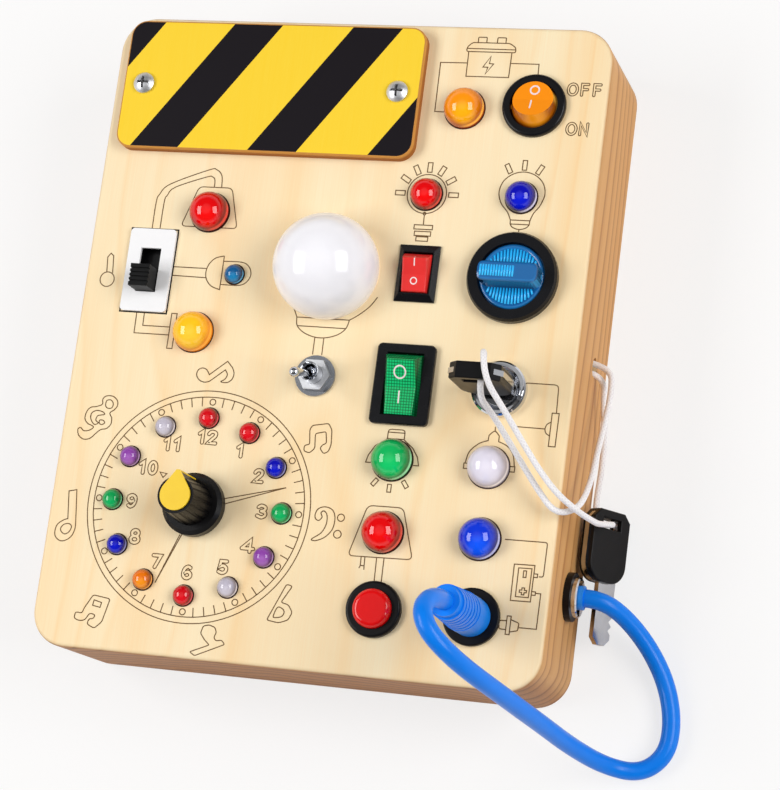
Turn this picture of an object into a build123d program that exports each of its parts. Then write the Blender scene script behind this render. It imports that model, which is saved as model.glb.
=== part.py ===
from build123d import *
import math
import os

os.makedirs("parts", exist_ok=True)

# Wooden busy board: a hollow wooden panel that lies on its back and carries switches, lamps, a lock,
# a lamp clock and a patch cable. Millimetres. X to the right, Y up the face, +Z out of the face.
# The origin is the centre of the back face.

# ------------------------------------------------------------------------------------------------
# Driving dimensions
# ------------------------------------------------------------------------------------------------
# Wooden body
BOARD_W = 190.0
BOARD_H = 240.0
BOARD_T = 50.0
CORNER_R = 13.0
EDGE_R = 1.6
SIDE_WALL = 12.0
FRONT_WALL = 6.0
CAVITY_R = 6.0

# Layout of the face. The outer column and rows keep their distance from the board's edges, and the
# rest keep their share of the board: one column unit or row unit is 1 mm on the board as drawn.
COLUMN_UNIT = BOARD_W / 190.0
ROW_UNIT = BOARD_H / 240.0
RIGHT_EDGE = BOARD_W / 2
TOP_EDGE = BOARD_H / 2
BOTTOM_EDGE = -BOARD_H / 2

# Back cover and its screws
COVER_T = 4.0
COVER_GAP = 0.3
COVER_LEDGE = 8.0
COVER_SCREW_INSET = 16.0
COVER_SCREW_L = 14.0
COVER_SCREW_HEAD_D = 5.6
COVER_SCREW_HEAD_H = 1.6

# Screws in general
SCREW_D = 3.0
SCREW_POINT = 1.6
PILOT_FIT = 0.05
SCREW_HOLE_FIT = 0.2
HEAD_FIT = 0.1

# Panel fits
PANEL_FIT = 0.15
RUNNING_FIT = 0.05
SHAFT_FIT = 0.03
SEAT_GAP = 0.3

# Striped cover plate over the batteries
PLATE_AT = (-31.8 * COLUMN_UNIT, TOP_EDGE - 27.7)
PLATE_W = 116.0
PLATE_H = 50.0
PLATE_T = 4.5
PLATE_R = 6.0
PLATE_EDGE_R = 0.8
PLATE_SCREW_PITCH = 99.2
PLATE_SCREW_L = 9.5
PAN_HEAD_D = 8.0
PAN_HEAD_H = 2.6
PAN_HEAD_RIM = 0.9
CROSS_L = 4.6
CROSS_W = 0.9
CROSS_DEPTH = 1.2

# Batteries and their holder
CELL_D = 10.5
CELL_L = 44.5
CELL_COUNT = 3
CELL_NUB_D = 3.8
CELL_NUB_L = 0.8
CELL_GAP = 0.4
CELL_END_GAP = 1.2
CELL_SEAT = 0.1
HOLDER_WALL = 1.4
HOLDER_LIP = 3.0
HOLDER_LIP_T = 2.0
HOLDER_SHIFT_Y = -3.0
HOLDER_DEPTH = 15.0

# Slide switch
SLIDE_AT = (-70.0 * COLUMN_UNIT, 21.3 * ROW_UNIT)
SLIDE_PLATE_W = 18.0
SLIDE_PLATE_H = 31.5
SLIDE_PLATE_T = 1.2
SLIDE_PLATE_R = 1.5
SLOT_W = 8.0
SLOT_L = 16.7
SLIDE_KNOB_W = 7.4
SLIDE_KNOB_L = 8.3
SLIDE_KNOB_H = 8.0
SLIDE_SIDE_GAP = 0.2
SLIDE_RIB_PITCH = 1.6
SLIDE_RIB_W = 0.7
SLIDE_RIB_DEPTH = 0.8
SLIDE_RIBS = 4
CARRIAGE_W = 9.6
CARRIAGE_L = 10.5
CARRIAGE_T = 3.4
SLIDE_BODY_W = 14.0
SLIDE_BODY_L = 26.5
SLIDE_BODY_T = 9.0

# Rocker switches, shared form
ROCKER_TILT = 15.0
ROCKER_END_GAP = 0.25
ROCKER_SIDE_GAP = 0.25
ROCKER_FLOOR_GAP = 0.6
ROCKER_SOFT_R = 0.5
STUB_D = 1.8
STUB_OUT = 0.7

# Round rocker
ROUND_AT = (RIGHT_EDGE - 26.6, TOP_EDGE - 29.9)
ROUND_FLANGE_D = 23.5
ROUND_FLANGE_T = 2.2
ROUND_OPENING_D = 17.6
ROUND_BODY_D = 20.0
ROUND_BODY_T = 13.0
ROUND_PIVOT = 1.3
ROUND_VALLEY = 5.2
ROUND_DISH = 7.0

# Small rocker
RED_AT = (33.0 * COLUMN_UNIT, 25.6 * ROW_UNIT)
RED_FLANGE_W = 15.0
RED_FLANGE_H = 21.0
RED_FLANGE_T = 2.2
RED_FLANGE_LIP = 0.8
RED_RIM = 0.4
RED_OPENING_W = 10.8
RED_OPENING_H = 15.2
RED_BODY_W = 12.8
RED_BODY_H = 18.8
RED_BODY_T = 11.0
RED_FACE_W = 8.9
RED_PIVOT = 0.8
RED_VALLEY = 5.4
RED_DISH = 5.0

# Large rocker
GREEN_AT = (33.2 * COLUMN_UNIT, -15.4 * ROW_UNIT)
GREEN_FLANGE_W = 21.5
GREEN_FLANGE_H = 29.3
GREEN_FLANGE_T = 2.2
GREEN_FLANGE_R = 1.8
GREEN_EDGE = 0.4
GREEN_OPENING_W = 13.7
GREEN_OPENING_H = 22.9
GREEN_BODY_W = 18.6
GREEN_BODY_H = 26.4
GREEN_BODY_T = 13.0
GREEN_FACE_W = 10.0
GREEN_PIVOT = 1.3
GREEN_VALLEY = 5.5
GREEN_DISH = 8.0

# Rotary switch
ROTARY_AT = (RIGHT_EDGE - 26.6, 25.8 * ROW_UNIT)
ROTARY_FLANGE_D = 33.0
ROTARY_FLANGE_T = 4.2
ROTARY_FLANGE_SLOPE = 1.4
ROTARY_OPENING_D = 24.6
ROTARY_BARREL_D = 27.0
ROTARY_BARREL_L = 14.0
ROTARY_POCKET = 4.0
ROTARY_KNOB_GAP = 0.25
ROTARY_DISC_H = 0.5
ROTARY_STEM_D = 8.0
ROTARY_STEM_L = 8.0
GRIP_L = 22.8
GRIP_W = 6.5
GRIP_H = 10.0
GRIP_DRAFT = 3.0
GRIP_END_R = 2.6
GRIP_SOFT_R = 0.8

# Toggle switch
TOGGLE_AT = (0.0, -14.3 * ROW_UNIT)
TOGGLE_TILT = 12.0
TOGGLE_SKIN = 3.0
TOGGLE_BUSH_D = 7.0
TOGGLE_BUSH_TOP = 8.5
TOGGLE_BORE_D = 5.2
TOGGLE_MOUTH = 0.6
TOGGLE_BODY_W = 8.0
TOGGLE_BODY_H = 13.2
TOGGLE_BODY_T = 10.0
TOGGLE_POCKET_GAP = 1.4
TOGGLE_WASHER_D = 15.0
TOGGLE_WASHER_T = 1.0
TOGGLE_NUT_AF = 10.8
TOGGLE_NUT_T = 2.0
TOGGLE_PIVOT = 4.5
TOGGLE_BALL_D = 5.1
TOGGLE_TAIL_D = 2.0
TOGGLE_TAIL_L = 4.0
LEVER_NECK_D = 2.6
LEVER_END_D = 3.3
LEVER_TIP_D = 3.8
LEVER_L = 19.4

# Key switch
LOCK_AT = (RIGHT_EDGE - 26.4, -14.8 * ROW_UNIT)
LOCK_BEZEL_D = 19.8
LOCK_BEZEL_T = 3.5
LOCK_RIM = 1.9
LOCK_CONE_TOP_D = 16.0
LOCK_CONE_LOW_D = 12.0
LOCK_CONE_DEPTH = 2.2
LOCK_EDGE = 0.6
LOCK_BARREL_D = 17.0
LOCK_BARREL_L = 22.0
LOCK_FLOOR = 1.6
LOCK_NUT_AF = 22.0
LOCK_NUT_T = 3.5
ROTOR_D = 11.5
KEYWAY_W = 9.0
KEYWAY_T = 2.4
KEYWAY_END = 0.5

# Keys, both alike
HEAD_W = 18.4
HEAD_L = 26.0
HEAD_T = 6.0
HEAD_SHIFT = 2.5
HEAD_CHAMFER = 3.0
HEAD_LOW_R = 7.0
HEAD_SOFT_R = 0.6
HEAD_SLOT_W = 9.0
HEAD_SLOT_H = 3.7
HEAD_SLOT_FROM_END = 4.85
BOW_T = 2.0
BOW_W = 19.8
BOW_END_COVER = 0.9
BLADE_W = 8.5
BLADE_L = 22.0
BLADE_NOTCH = 1.4
BLADE_NOTCH_PITCH = 3.2
BLADE_NOTCHES = 4
BLADE_POINT = 2.4
LOCK_HEAD_GAP = 0.5
SPARE_AT = (RIGHT_EDGE + 8.5, -48.0 * ROW_UNIT, 10.7)
SPARE_LEAN = 58.0

# Cord hole in the right side
CORD_D = 2.2
CORD_HOLE_D = 7.0
CORD_HOLE_Y = 1.84 * ROW_UNIT
SIDE_HOLE_Z = 22.3

# Push button
PUSH_AT = (33.2 * COLUMN_UNIT, BOTTOM_EDGE + 23.9)
PUSH_BEZEL_D = 20.0
PUSH_BEZEL_T = 2.5
PUSH_BEZEL_R = 1.0
PUSH_BARREL_D = 16.0
PUSH_BARREL_L = 18.0
PUSH_FLOOR = 1.6
PUSH_CAP_D = 14.0
PUSH_CAP_H = 5.5
PUSH_CAP_L = 11.0
PUSH_CAP_R = 2.2
PUSH_CAP_POCKET = 4.0
PUSH_FIT = 0.1
SPRING_D = 10.0
SPRING_WIRE = 0.8
SPRING_TURNS = 4.0
SPRING_FIT = 0.6

# Clock: twelve small lamps on a board round a selector switch
CLOCK_AT = (-38.1 * COLUMN_UNIT, BOTTOM_EDGE + 55.0)
CLOCK_LAMP_R = 32.5
CLOCK_LAMP_D = 7.4
CLOCK_LAMP_H = 0.5
CLOCK_HOURS = 12
CLOCK_BOARD_D = 76.0
CLOCK_BOARD_T = 1.6
SELECTOR_BODY_D = 26.0
SELECTOR_BODY_T = 12.0
BUSH_D = 9.0
BUSH_TOP = 3.0
SELECTOR_NUT_AF = 11.0
SELECTOR_NUT_T = 2.0
SHAFT_D = 6.0
SHAFT_TOP = 16.0
SHAFT_BELOW = 8.0
KNOB_GAP = 1.2
SKIRT_D = 22.8
SKIRT_WALL = 3.4
SKIRT_TOP_D = 20.0
SKIRT_TOP = 6.0
KNOB_TOP = 21.8
KNOB_LOW_D = 16.0
KNOB_TOP_D = 13.4
KNOB_FLUTES = 16
KNOB_FLUTE_D = 1.5
KNOB_FLUTE_OUT = 0.35
KNOB_RECESS_D = 14.0
KNOB_RECESS_H = 3.2
POINTER_R = 8.5
POINTER_TIP_W = 1.2
POINTER_ROOT_W = 9.6
CAP_T = 0.8
CAP_D = 11.2
CAP_STRIP_T = 0.5

# Globe lamp
GLOBE_AT = (0.0, 25.3 * ROW_UNIT)
GLOBE_R = 19.3
GLOBE_WALL = 1.5
GLOBE_LIFT = 5.3
GLOBE_BASE_GAP = 0.5
GLOBE_BASE_T = 2.0
GLOBE_BARREL_D = 24.0
GLOBE_BARREL_L = 14.0
GLOBE_BULB_D = 10.0
GLOBE_BULB_H = 9.0

# Single lamps
BIG_LAMP_D = 14.8
BIG_LAMP_H = 1.2
MID_LAMP_D = 11.6
MID_LAMP_H = 0.9
SMALL_LAMP_D = 7.2
SMALL_LAMP_H = 0.5
LAMP_RIM = 1.0
LAMP_RIM_T = 1.5
LAMP_PIN = 0.8
LAMP_PIN_L = 8.0
LAMP_PIN_PITCH = 2.54
RED_LAMPS = (
    (-49.4 * COLUMN_UNIT, 44.7 * ROW_UNIT),
    (32.7 * COLUMN_UNIT, -68.7 * ROW_UNIT),
)
RED_MID_LAMP = (32.5 * COLUMN_UNIT, 55.3 * ROW_UNIT)
BLUE_LAMP = (RIGHT_EDGE - 27.1, -68.1 * ROW_UNIT)
BLUE_MID_LAMP = (RIGHT_EDGE - 27.3, 55.8 * ROW_UNIT)
BLUE_SMALL_LAMP = (-36.4 * COLUMN_UNIT, 21.6 * ROW_UNIT)
YELLOW_LAMP = (-48.9 * COLUMN_UNIT, -1.0 * ROW_UNIT)
AMBER_LAMP = (42.6 * COLUMN_UNIT, TOP_EDGE - 31.8)
GREEN_LAMP = (32.7 * COLUMN_UNIT, -42.7 * ROW_UNIT)
WHITE_LAMP = (RIGHT_EDGE - 27.1, -42.6 * ROW_UNIT)

# Front socket and plug
SOCKET_AT = (RIGHT_EDGE - 26.5, BOTTOM_EDGE + 24.5)
SOCKET_FLANGE_D = 20.3
SOCKET_FLANGE_T = 2.0
SOCKET_FLANGE_R = 0.6
SOCKET_BARREL_D = 14.0
SOCKET_BARREL_L = 20.0
SOCKET_FLOOR = 1.6
PIN_D = 6.3
PIN_L = 14.0
PIN_FIT = 0.15
PLUG_BASE_D = 14.2
PLUG_BASE_L = 14.0
PLUG_RIBS = 6
PLUG_RIB_T = 2.3
PLUG_RIB_GAP = 0.8
PLUG_RIB_LOW_D = 13.8
PLUG_RIB_TOP_D = 12.2
PLUG_CORE_D = 11.0
PLUG_BOOT_D = 10.4
PLUG_TOP = 38.0

# Side gland for the cable
CABLE_D = 6.5
GLAND_Y = BOTTOM_EDGE + 38.4
GLAND_FLANGE_D = 17.5
GLAND_FLANGE_T = 2.4
GLAND_BARREL_D = 12.0
GLAND_BARREL_OUT = 3.0
GLAND_NUT_D = 14.5
GLAND_NUT_T = 2.2
GLAND_NUT_EDGE = 0.5
COLLAR_D = 8.6
COLLAR_OUT = 6.0
COLLAR_IN = 7.0
COLLAR_FIT = 0.1

# Terminals under the switches
PLAIN_COUNT = 2
CHANGEOVER_COUNT = 3
BLADE_TERMINAL_W = 4.8
BLADE_TERMINAL_T = 0.8
BLADE_TERMINAL_L = 8.0

# Routes of the soft cords, point by point
CABLE_ROUTE = [
    (101.0, -81.6, 22.3), (107.5, -81.6, 22.3), (115.5, -86.5, 14.8), (123.5, -95.5, 7.8),
    (130.0, -107.0, 3.7), (133.5, -120.0, 3.45), (132.5, -132.0, 3.5), (124.0, -139.3, 3.6),
    (112.0, -138.2, 8.5), (102.8, -134.0, 25.0), (97.0, -129.6, 45.0), (92.2, -126.0, 66.0),
    (87.8, -122.6, 84.0), (82.8, -119.2, 98.0), (77.0, -114.7, 107.5), (70.3, -108.2, 112.0),
    (67.0, -100.8, 110.0), (68.5, -95.5, 101.0), (68.5, -95.5, 88.0),
]
KEY_CORD_ROUTE = [
    (91.0, 3.75, 22.3), (101.6, 2.4, 23.3), (103.0, -8.5, 26.0), (102.4, -21.0, 29.5),
    (102.0, -33.0, 33.9), (102.0, -44.6, 39.4), (100.9, -54.4, 47.6), (94.9, -58.2, 56.2),
    (88.1, -50.5, 56.8), (81.4, -41.6, 57.8), (75.4, -33.1, 60.8), (70.6, -26.3, 66.0),
    (67.6, -22.4, 74.9), (68.3, -8.4, 75.2), (69.5, -8.2, 82.9), (71.5, -18.6, 82.3),
    (76.8, -26.4, 73.6), (82.6, -35.4, 66.6), (88.8, -44.2, 62.6), (95.6, -51.8, 60.6),
    (102.6, -56.6, 54.4), (105.6, -57.4, 41.6), (104.6, -55.8, 28.0), (107.9, -53.0, 13.5),
    (99.2, -52.8, 8.0), (97.4, -45.0, 5.4), (98.6, -33.0, 7.2), (99.3, -21.5, 11.6),
    (98.8, -10.5, 17.2), (98.6, -0.3, 22.0), (91.0, 0.0, 22.3),
]

# ------------------------------------------------------------------------------------------------
# Levels and places that follow from the dimensions
# ------------------------------------------------------------------------------------------------
FACE_Z = BOARD_T
INNER_Z = FACE_Z - FRONT_WALL
SIDE_X = RIGHT_EDGE
CAVITY_W = BOARD_W - 2 * SIDE_WALL
CAVITY_H = BOARD_H - 2 * SIDE_WALL
REBATE_W = CAVITY_W + 2 * COVER_LEDGE
REBATE_H = CAVITY_H + 2 * COVER_LEDGE
REBATE_R = CORNER_R - (SIDE_WALL - COVER_LEDGE)
COVER_SCREW_DX = CAVITY_W + COVER_LEDGE
COVER_SCREW_PITCH_Y = REBATE_H / 2 - COVER_SCREW_INSET
RIM_Z = INNER_Z - LAMP_RIM_T
CLOCK_BOARD_Z = RIM_Z - CLOCK_BOARD_T

HOLDER_AT = (PLATE_AT[0], PLATE_AT[1] + HOLDER_SHIFT_Y)
TRAY_IN_L = CELL_L + 2 * CELL_END_GAP
TRAY_IN_W = CELL_COUNT * CELL_D + (CELL_COUNT + 1) * CELL_GAP
TRAY_L = TRAY_IN_L + 2 * HOLDER_WALL
TRAY_W = TRAY_IN_W + 2 * HOLDER_WALL

SLIDE_TRAVEL = SLOT_L - SLIDE_KNOB_L - 2 * SLIDE_SIDE_GAP
SLIDE_POCKET_L = CARRIAGE_L + SLIDE_TRAVEL + 2 * SEAT_GAP
SLIDE_POCKET_W = CARRIAGE_W + 2 * SLIDE_SIDE_GAP
SLIDE_POCKET_T = CARRIAGE_T + 2 * SEAT_GAP
SLIDE_REST_Y = SLIDE_AT[1] - SLIDE_TRAVEL / 2

BLADE_TOP_Z = FACE_Z + LOCK_BEZEL_T + LOCK_HEAD_GAP
KEY_TOP_Z = BLADE_TOP_Z + HEAD_L
ROTOR_TOP_Z = FACE_Z + LOCK_BEZEL_T - LOCK_CONE_DEPTH
KEYWAY_LOW_Z = BLADE_TOP_Z - BLADE_L - KEYWAY_END
ROTOR_LOW_Z = FACE_Z - LOCK_BARREL_L + LOCK_FLOOR + SEAT_GAP

PLUG_SEAT_Z = FACE_Z + SOCKET_FLANGE_T + SEAT_GAP
PUSH_CAP_TOP_Z = FACE_Z + PUSH_CAP_H
PUSH_FLOOR_Z = FACE_Z - PUSH_BARREL_L + PUSH_FLOOR
KNOB_LOW_Z = FACE_Z + KNOB_GAP
KNOB_TOP_Z = FACE_Z + KNOB_TOP


def side_plane(at, height, tilt):
    """Plane across a rocker: local x runs along the rocker, local y out of the panel."""
    angle = math.radians(tilt)
    return Plane(
        origin=(at[0], at[1], height),
        x_dir=(0, math.cos(angle), math.sin(angle)),
        z_dir=(1, 0, 0),
    )


def end_plane(at, height, tilt):
    """Plane along a rocker's pivot: local x along the pivot, local y out of the panel."""
    angle = math.radians(tilt)
    return Plane(
        origin=(at[0], at[1], height),
        x_dir=(1, 0, 0),
        z_dir=(0, -math.cos(angle), -math.sin(angle)),
    )


def tilted_axis(at, height, tilt):
    """Axis out of the panel through a pivot, leaned by the tilt."""
    angle = math.radians(tilt)
    return Axis((at[0], at[1], height), (0, -math.sin(angle), math.cos(angle)))


def rocker_ends(opening, valley, dish):
    """Foot and tip of a rocker's end wall, which leans in so that the pressed end clears the frame."""
    swing_r = opening / 2 - ROCKER_END_GAP
    lean = math.radians(ROCKER_TILT)
    slope = math.tan(math.radians(dish))
    foot = (swing_r * math.cos(lean), swing_r * math.sin(lean))
    rise = (valley + foot[0] * slope - foot[1]) / (math.cos(lean) + math.sin(lean) * slope)
    tip = (foot[0] - rise * math.sin(lean), foot[1] + rise * math.cos(lean))
    return swing_r, foot, tip


def rocker_floor(opening):
    """Depth of a rocker's pocket below the pivot."""
    swing_r = opening / 2 - ROCKER_END_GAP
    return swing_r * math.sin(math.radians(2 * ROCKER_TILT)) + ROCKER_FLOOR_GAP


def rocker_button(at, pivot, tilt, opening_w, opening_h, face_w, valley, dish):
    """Rectangular rocker with a dished face, leaning ends, tapered sides and two pivot stubs."""
    swing_r, foot, tip = rocker_ends(opening_h, valley, dish)
    height = FACE_Z - pivot
    half_w = opening_w / 2 - ROCKER_SIDE_GAP
    side = side_plane(at, height, tilt)
    with BuildPart() as button:
        with BuildSketch(side):
            with BuildLine():
                Polyline(foot, tip, (0, valley), (-tip[0], tip[1]), (-foot[0], foot[1]))
                ThreePointArc((-foot[0], foot[1]), (-swing_r, 0), (-foot[0], -foot[1]))
                Line((-foot[0], -foot[1]), (foot[0], -foot[1]))
                ThreePointArc((foot[0], -foot[1]), (swing_r, 0), foot)
            make_face()
        extrude(amount=half_w, both=True)
        with BuildSketch(end_plane(at, height, tilt)):
            with BuildLine():
                Polyline(
                    (-half_w, -foot[1]), (half_w, -foot[1]), (half_w, foot[1]),
                    (face_w / 2, tip[1]), (-face_w / 2, tip[1]), (-half_w, foot[1]),
                    close=True,
                )
            make_face()
        extrude(amount=opening_h, both=True, mode=Mode.INTERSECT)
        out = tilted_axis(at, height, tilt)
        facets = button.faces().sort_by(out)[-2:]
        crease = out.position + out.direction * valley
        rims = facets.edges().filter_by(lambda rim: (rim.center() - crease).length > ROCKER_SOFT_R)
        fillet(rims, ROCKER_SOFT_R)
        with BuildSketch(side):
            Circle(STUB_D / 2)
        extrude(amount=opening_w / 2 + STUB_OUT, both=True)
    return button.part


def round_rocker(at, pivot, tilt, opening_d, valley, dish):
    """Round rocker: a turned button with a dished face, swinging on two pivot stubs."""
    swing_r, foot, tip = rocker_ends(opening_d, valley, dish)
    height = FACE_Z - pivot
    side = side_plane(at, height, tilt)
    with BuildPart() as button:
        with BuildSketch(side):
            with BuildLine():
                Line((0, -foot[1]), (foot[0], -foot[1]))
                ThreePointArc((foot[0], -foot[1]), (swing_r, 0), foot)
                Polyline(foot, tip, (0, tip[1]), (0, -foot[1]))
            make_face()
        revolve(axis=tilted_axis(at, height, tilt))
        with BuildSketch(side):
            with BuildLine():
                Polyline(
                    (0, valley), (2 * tip[0], 2 * tip[1] - valley), (0, 3 * tip[1]),
                    (-2 * tip[0], 2 * tip[1] - valley), close=True,
                )
            make_face()
        extrude(amount=opening_d, both=True, mode=Mode.SUBTRACT)
        with BuildSketch(side):
            Circle(STUB_D / 2)
        extrude(amount=opening_d / 2 + STUB_OUT, both=True)
    return button.part


def screw_tip(shank_d, length, top_z):
    """Half section of a shank with its point, as points from the axis outwards and up."""
    low_z = top_z - length
    return [(0, low_z), (shank_d / 2, low_z + SCREW_POINT), (shank_d / 2, top_z)]


def lamp(diameter, centre_h, pin_count):
    """Round-topped lamp that stands through the panel, with its rim under the wood."""
    with BuildPart() as one:
        with BuildSketch(Plane.XZ):
            with BuildLine():
                Polyline(
                    (0, FACE_Z + centre_h + diameter / 2), (0, RIM_Z),
                    (diameter / 2 + LAMP_RIM, RIM_Z), (diameter / 2 + LAMP_RIM, INNER_Z),
                    (diameter / 2, INNER_Z), (diameter / 2, FACE_Z + centre_h),
                )
                RadiusArc(
                    (diameter / 2, FACE_Z + centre_h),
                    (0, FACE_Z + centre_h + diameter / 2),
                    -diameter / 2,
                )
            make_face()
        revolve(axis=Axis.Z)
        if pin_count:
            with BuildSketch(Plane.XY.offset(RIM_Z)):
                with GridLocations(LAMP_PIN_PITCH, 0, pin_count, 1):
                    Rectangle(LAMP_PIN, LAMP_PIN)
            extrude(amount=-LAMP_PIN_L)
    return one.part


def clock_lamp_places(hours):
    """Lamp centres of the given hours on the clock, twelve at the top, going clockwise."""
    step = 2 * math.pi / CLOCK_HOURS
    return [
        (
            CLOCK_AT[0] + CLOCK_LAMP_R * math.sin(hour * step),
            CLOCK_AT[1] + CLOCK_LAMP_R * math.cos(hour * step),
        )
        for hour in hours
    ]


def clock_lamps(hours):
    """The clock lamps of one colour."""
    small = lamp(CLOCK_LAMP_D, CLOCK_LAMP_H, 0)
    with BuildPart() as group:
        with Locations(*clock_lamp_places(hours)):
            add(small)
    return group.part


def single_lamps(places):
    """A set of panel lamps, each given as its place, diameter and height of centre."""
    with BuildPart() as group:
        for place, diameter, centre_h in places:
            with Locations(place):
                add(lamp(diameter, centre_h, 2))
    return group.part


def key_plane(origin, across, face):
    """Plane of a key: local x across the head, local y towards the blade's tip."""
    return Plane(origin=origin, x_dir=across, z_dir=face)


def key_blade(plane):
    """Metal bow plate with its blade; the bow shows as a thin rim on both sides of the head."""
    blade_x = HEAD_SHIFT - BLADE_W / 2
    with BuildPart() as blade:
        with BuildSketch(plane):
            with Locations((0, (BOW_END_COVER + HEAD_L) / 2)):
                Rectangle(BOW_W, HEAD_L - BOW_END_COVER)
            chamfer(vertices().group_by(Axis.Y)[0], HEAD_CHAMFER)
            fillet(vertices().group_by(Axis.Y)[-1], HEAD_LOW_R)
            with BuildLine():
                Polyline(
                    (blade_x, HEAD_L - HEAD_LOW_R / 2),
                    (blade_x, HEAD_L + BLADE_L - BLADE_POINT),
                    (blade_x + BLADE_POINT, HEAD_L + BLADE_L),
                    (blade_x + BLADE_W - BLADE_POINT, HEAD_L + BLADE_L),
                    (blade_x + BLADE_W, HEAD_L + BLADE_L - BLADE_POINT),
                    (blade_x + BLADE_W, HEAD_L - HEAD_LOW_R / 2),
                    close=True,
                )
            make_face()
            with Locations((0, HEAD_SLOT_FROM_END)):
                Rectangle(HEAD_SLOT_W, HEAD_SLOT_H, mode=Mode.SUBTRACT)
        extrude(amount=BOW_T / 2, both=True)
        first_notch = HEAD_L + BLADE_L - BLADE_POINT - BLADE_NOTCHES * BLADE_NOTCH_PITCH
        with BuildSketch(plane):
            for index in range(BLADE_NOTCHES):
                middle = first_notch + index * BLADE_NOTCH_PITCH
                with BuildLine():
                    Polyline(
                        (blade_x + BLADE_W, middle - BLADE_NOTCH),
                        (blade_x + BLADE_W - BLADE_NOTCH, middle),
                        (blade_x + BLADE_W, middle + BLADE_NOTCH),
                        close=True,
                    )
                make_face()
        extrude(amount=BOW_T, both=True, mode=Mode.SUBTRACT)
    return blade.part


def key_head(plane):
    """Plastic key head: two cheeks beside the bow plate, joined over its end, with a cord slot."""
    with BuildPart() as head:
        with BuildSketch(plane):
            with Locations((0, HEAD_L / 2)):
                Rectangle(HEAD_W, HEAD_L)
            chamfer(vertices().group_by(Axis.Y)[0], HEAD_CHAMFER)
            fillet(vertices().group_by(Axis.Y)[-1], HEAD_LOW_R)
            with Locations((0, HEAD_SLOT_FROM_END)):
                Rectangle(HEAD_SLOT_W, HEAD_SLOT_H, mode=Mode.SUBTRACT)
        extrude(amount=HEAD_T / 2, both=True)
        cheeks = head.faces().sort_by(Axis(plane.origin, plane.z_dir))
        fillet(cheeks[0].edges() + cheeks[-1].edges(), HEAD_SOFT_R)
        with BuildSketch(plane):
            with Locations((0, (BOW_END_COVER + 2 * HEAD_L) / 2)):
                Rectangle(2 * BOW_W, 2 * HEAD_L - BOW_END_COVER)
        extrude(amount=BOW_T / 2, both=True, mode=Mode.SUBTRACT)
    return head.part


def cord_radii(route, share=0.45):
    """Arc radius at each inner point of a route: as large as the shorter run beside it allows."""
    radii = []
    for before, corner, after in zip(route, route[1:], route[2:]):
        run_in = Vector(*corner) - Vector(*before)
        run_out = Vector(*after) - Vector(*corner)
        half_turn = math.radians(run_in.get_angle(run_out)) / 2
        radii.append(share * min(run_in.length, run_out.length) / math.tan(half_turn))
    return radii


def cord_tube(name, route, diameter):
    """Plain tube along a cord's route; prints its radii and compares its volume with its length."""
    radii = cord_radii(route)
    with BuildPart() as tube:
        with BuildLine() as path:
            FilletPolyline(*route, radius=radii)
        with BuildSketch(path.line ^ 0):
            Circle(diameter / 2)
        sweep()
    expected = math.pi * diameter**2 / 4 * path.wire().length
    print(name, "length", round(path.wire().length, 1), "volume ratio", tube.part.volume / expected)
    print(name, "radii", [round(r, 1) for r in radii])
    return tube.part


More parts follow.
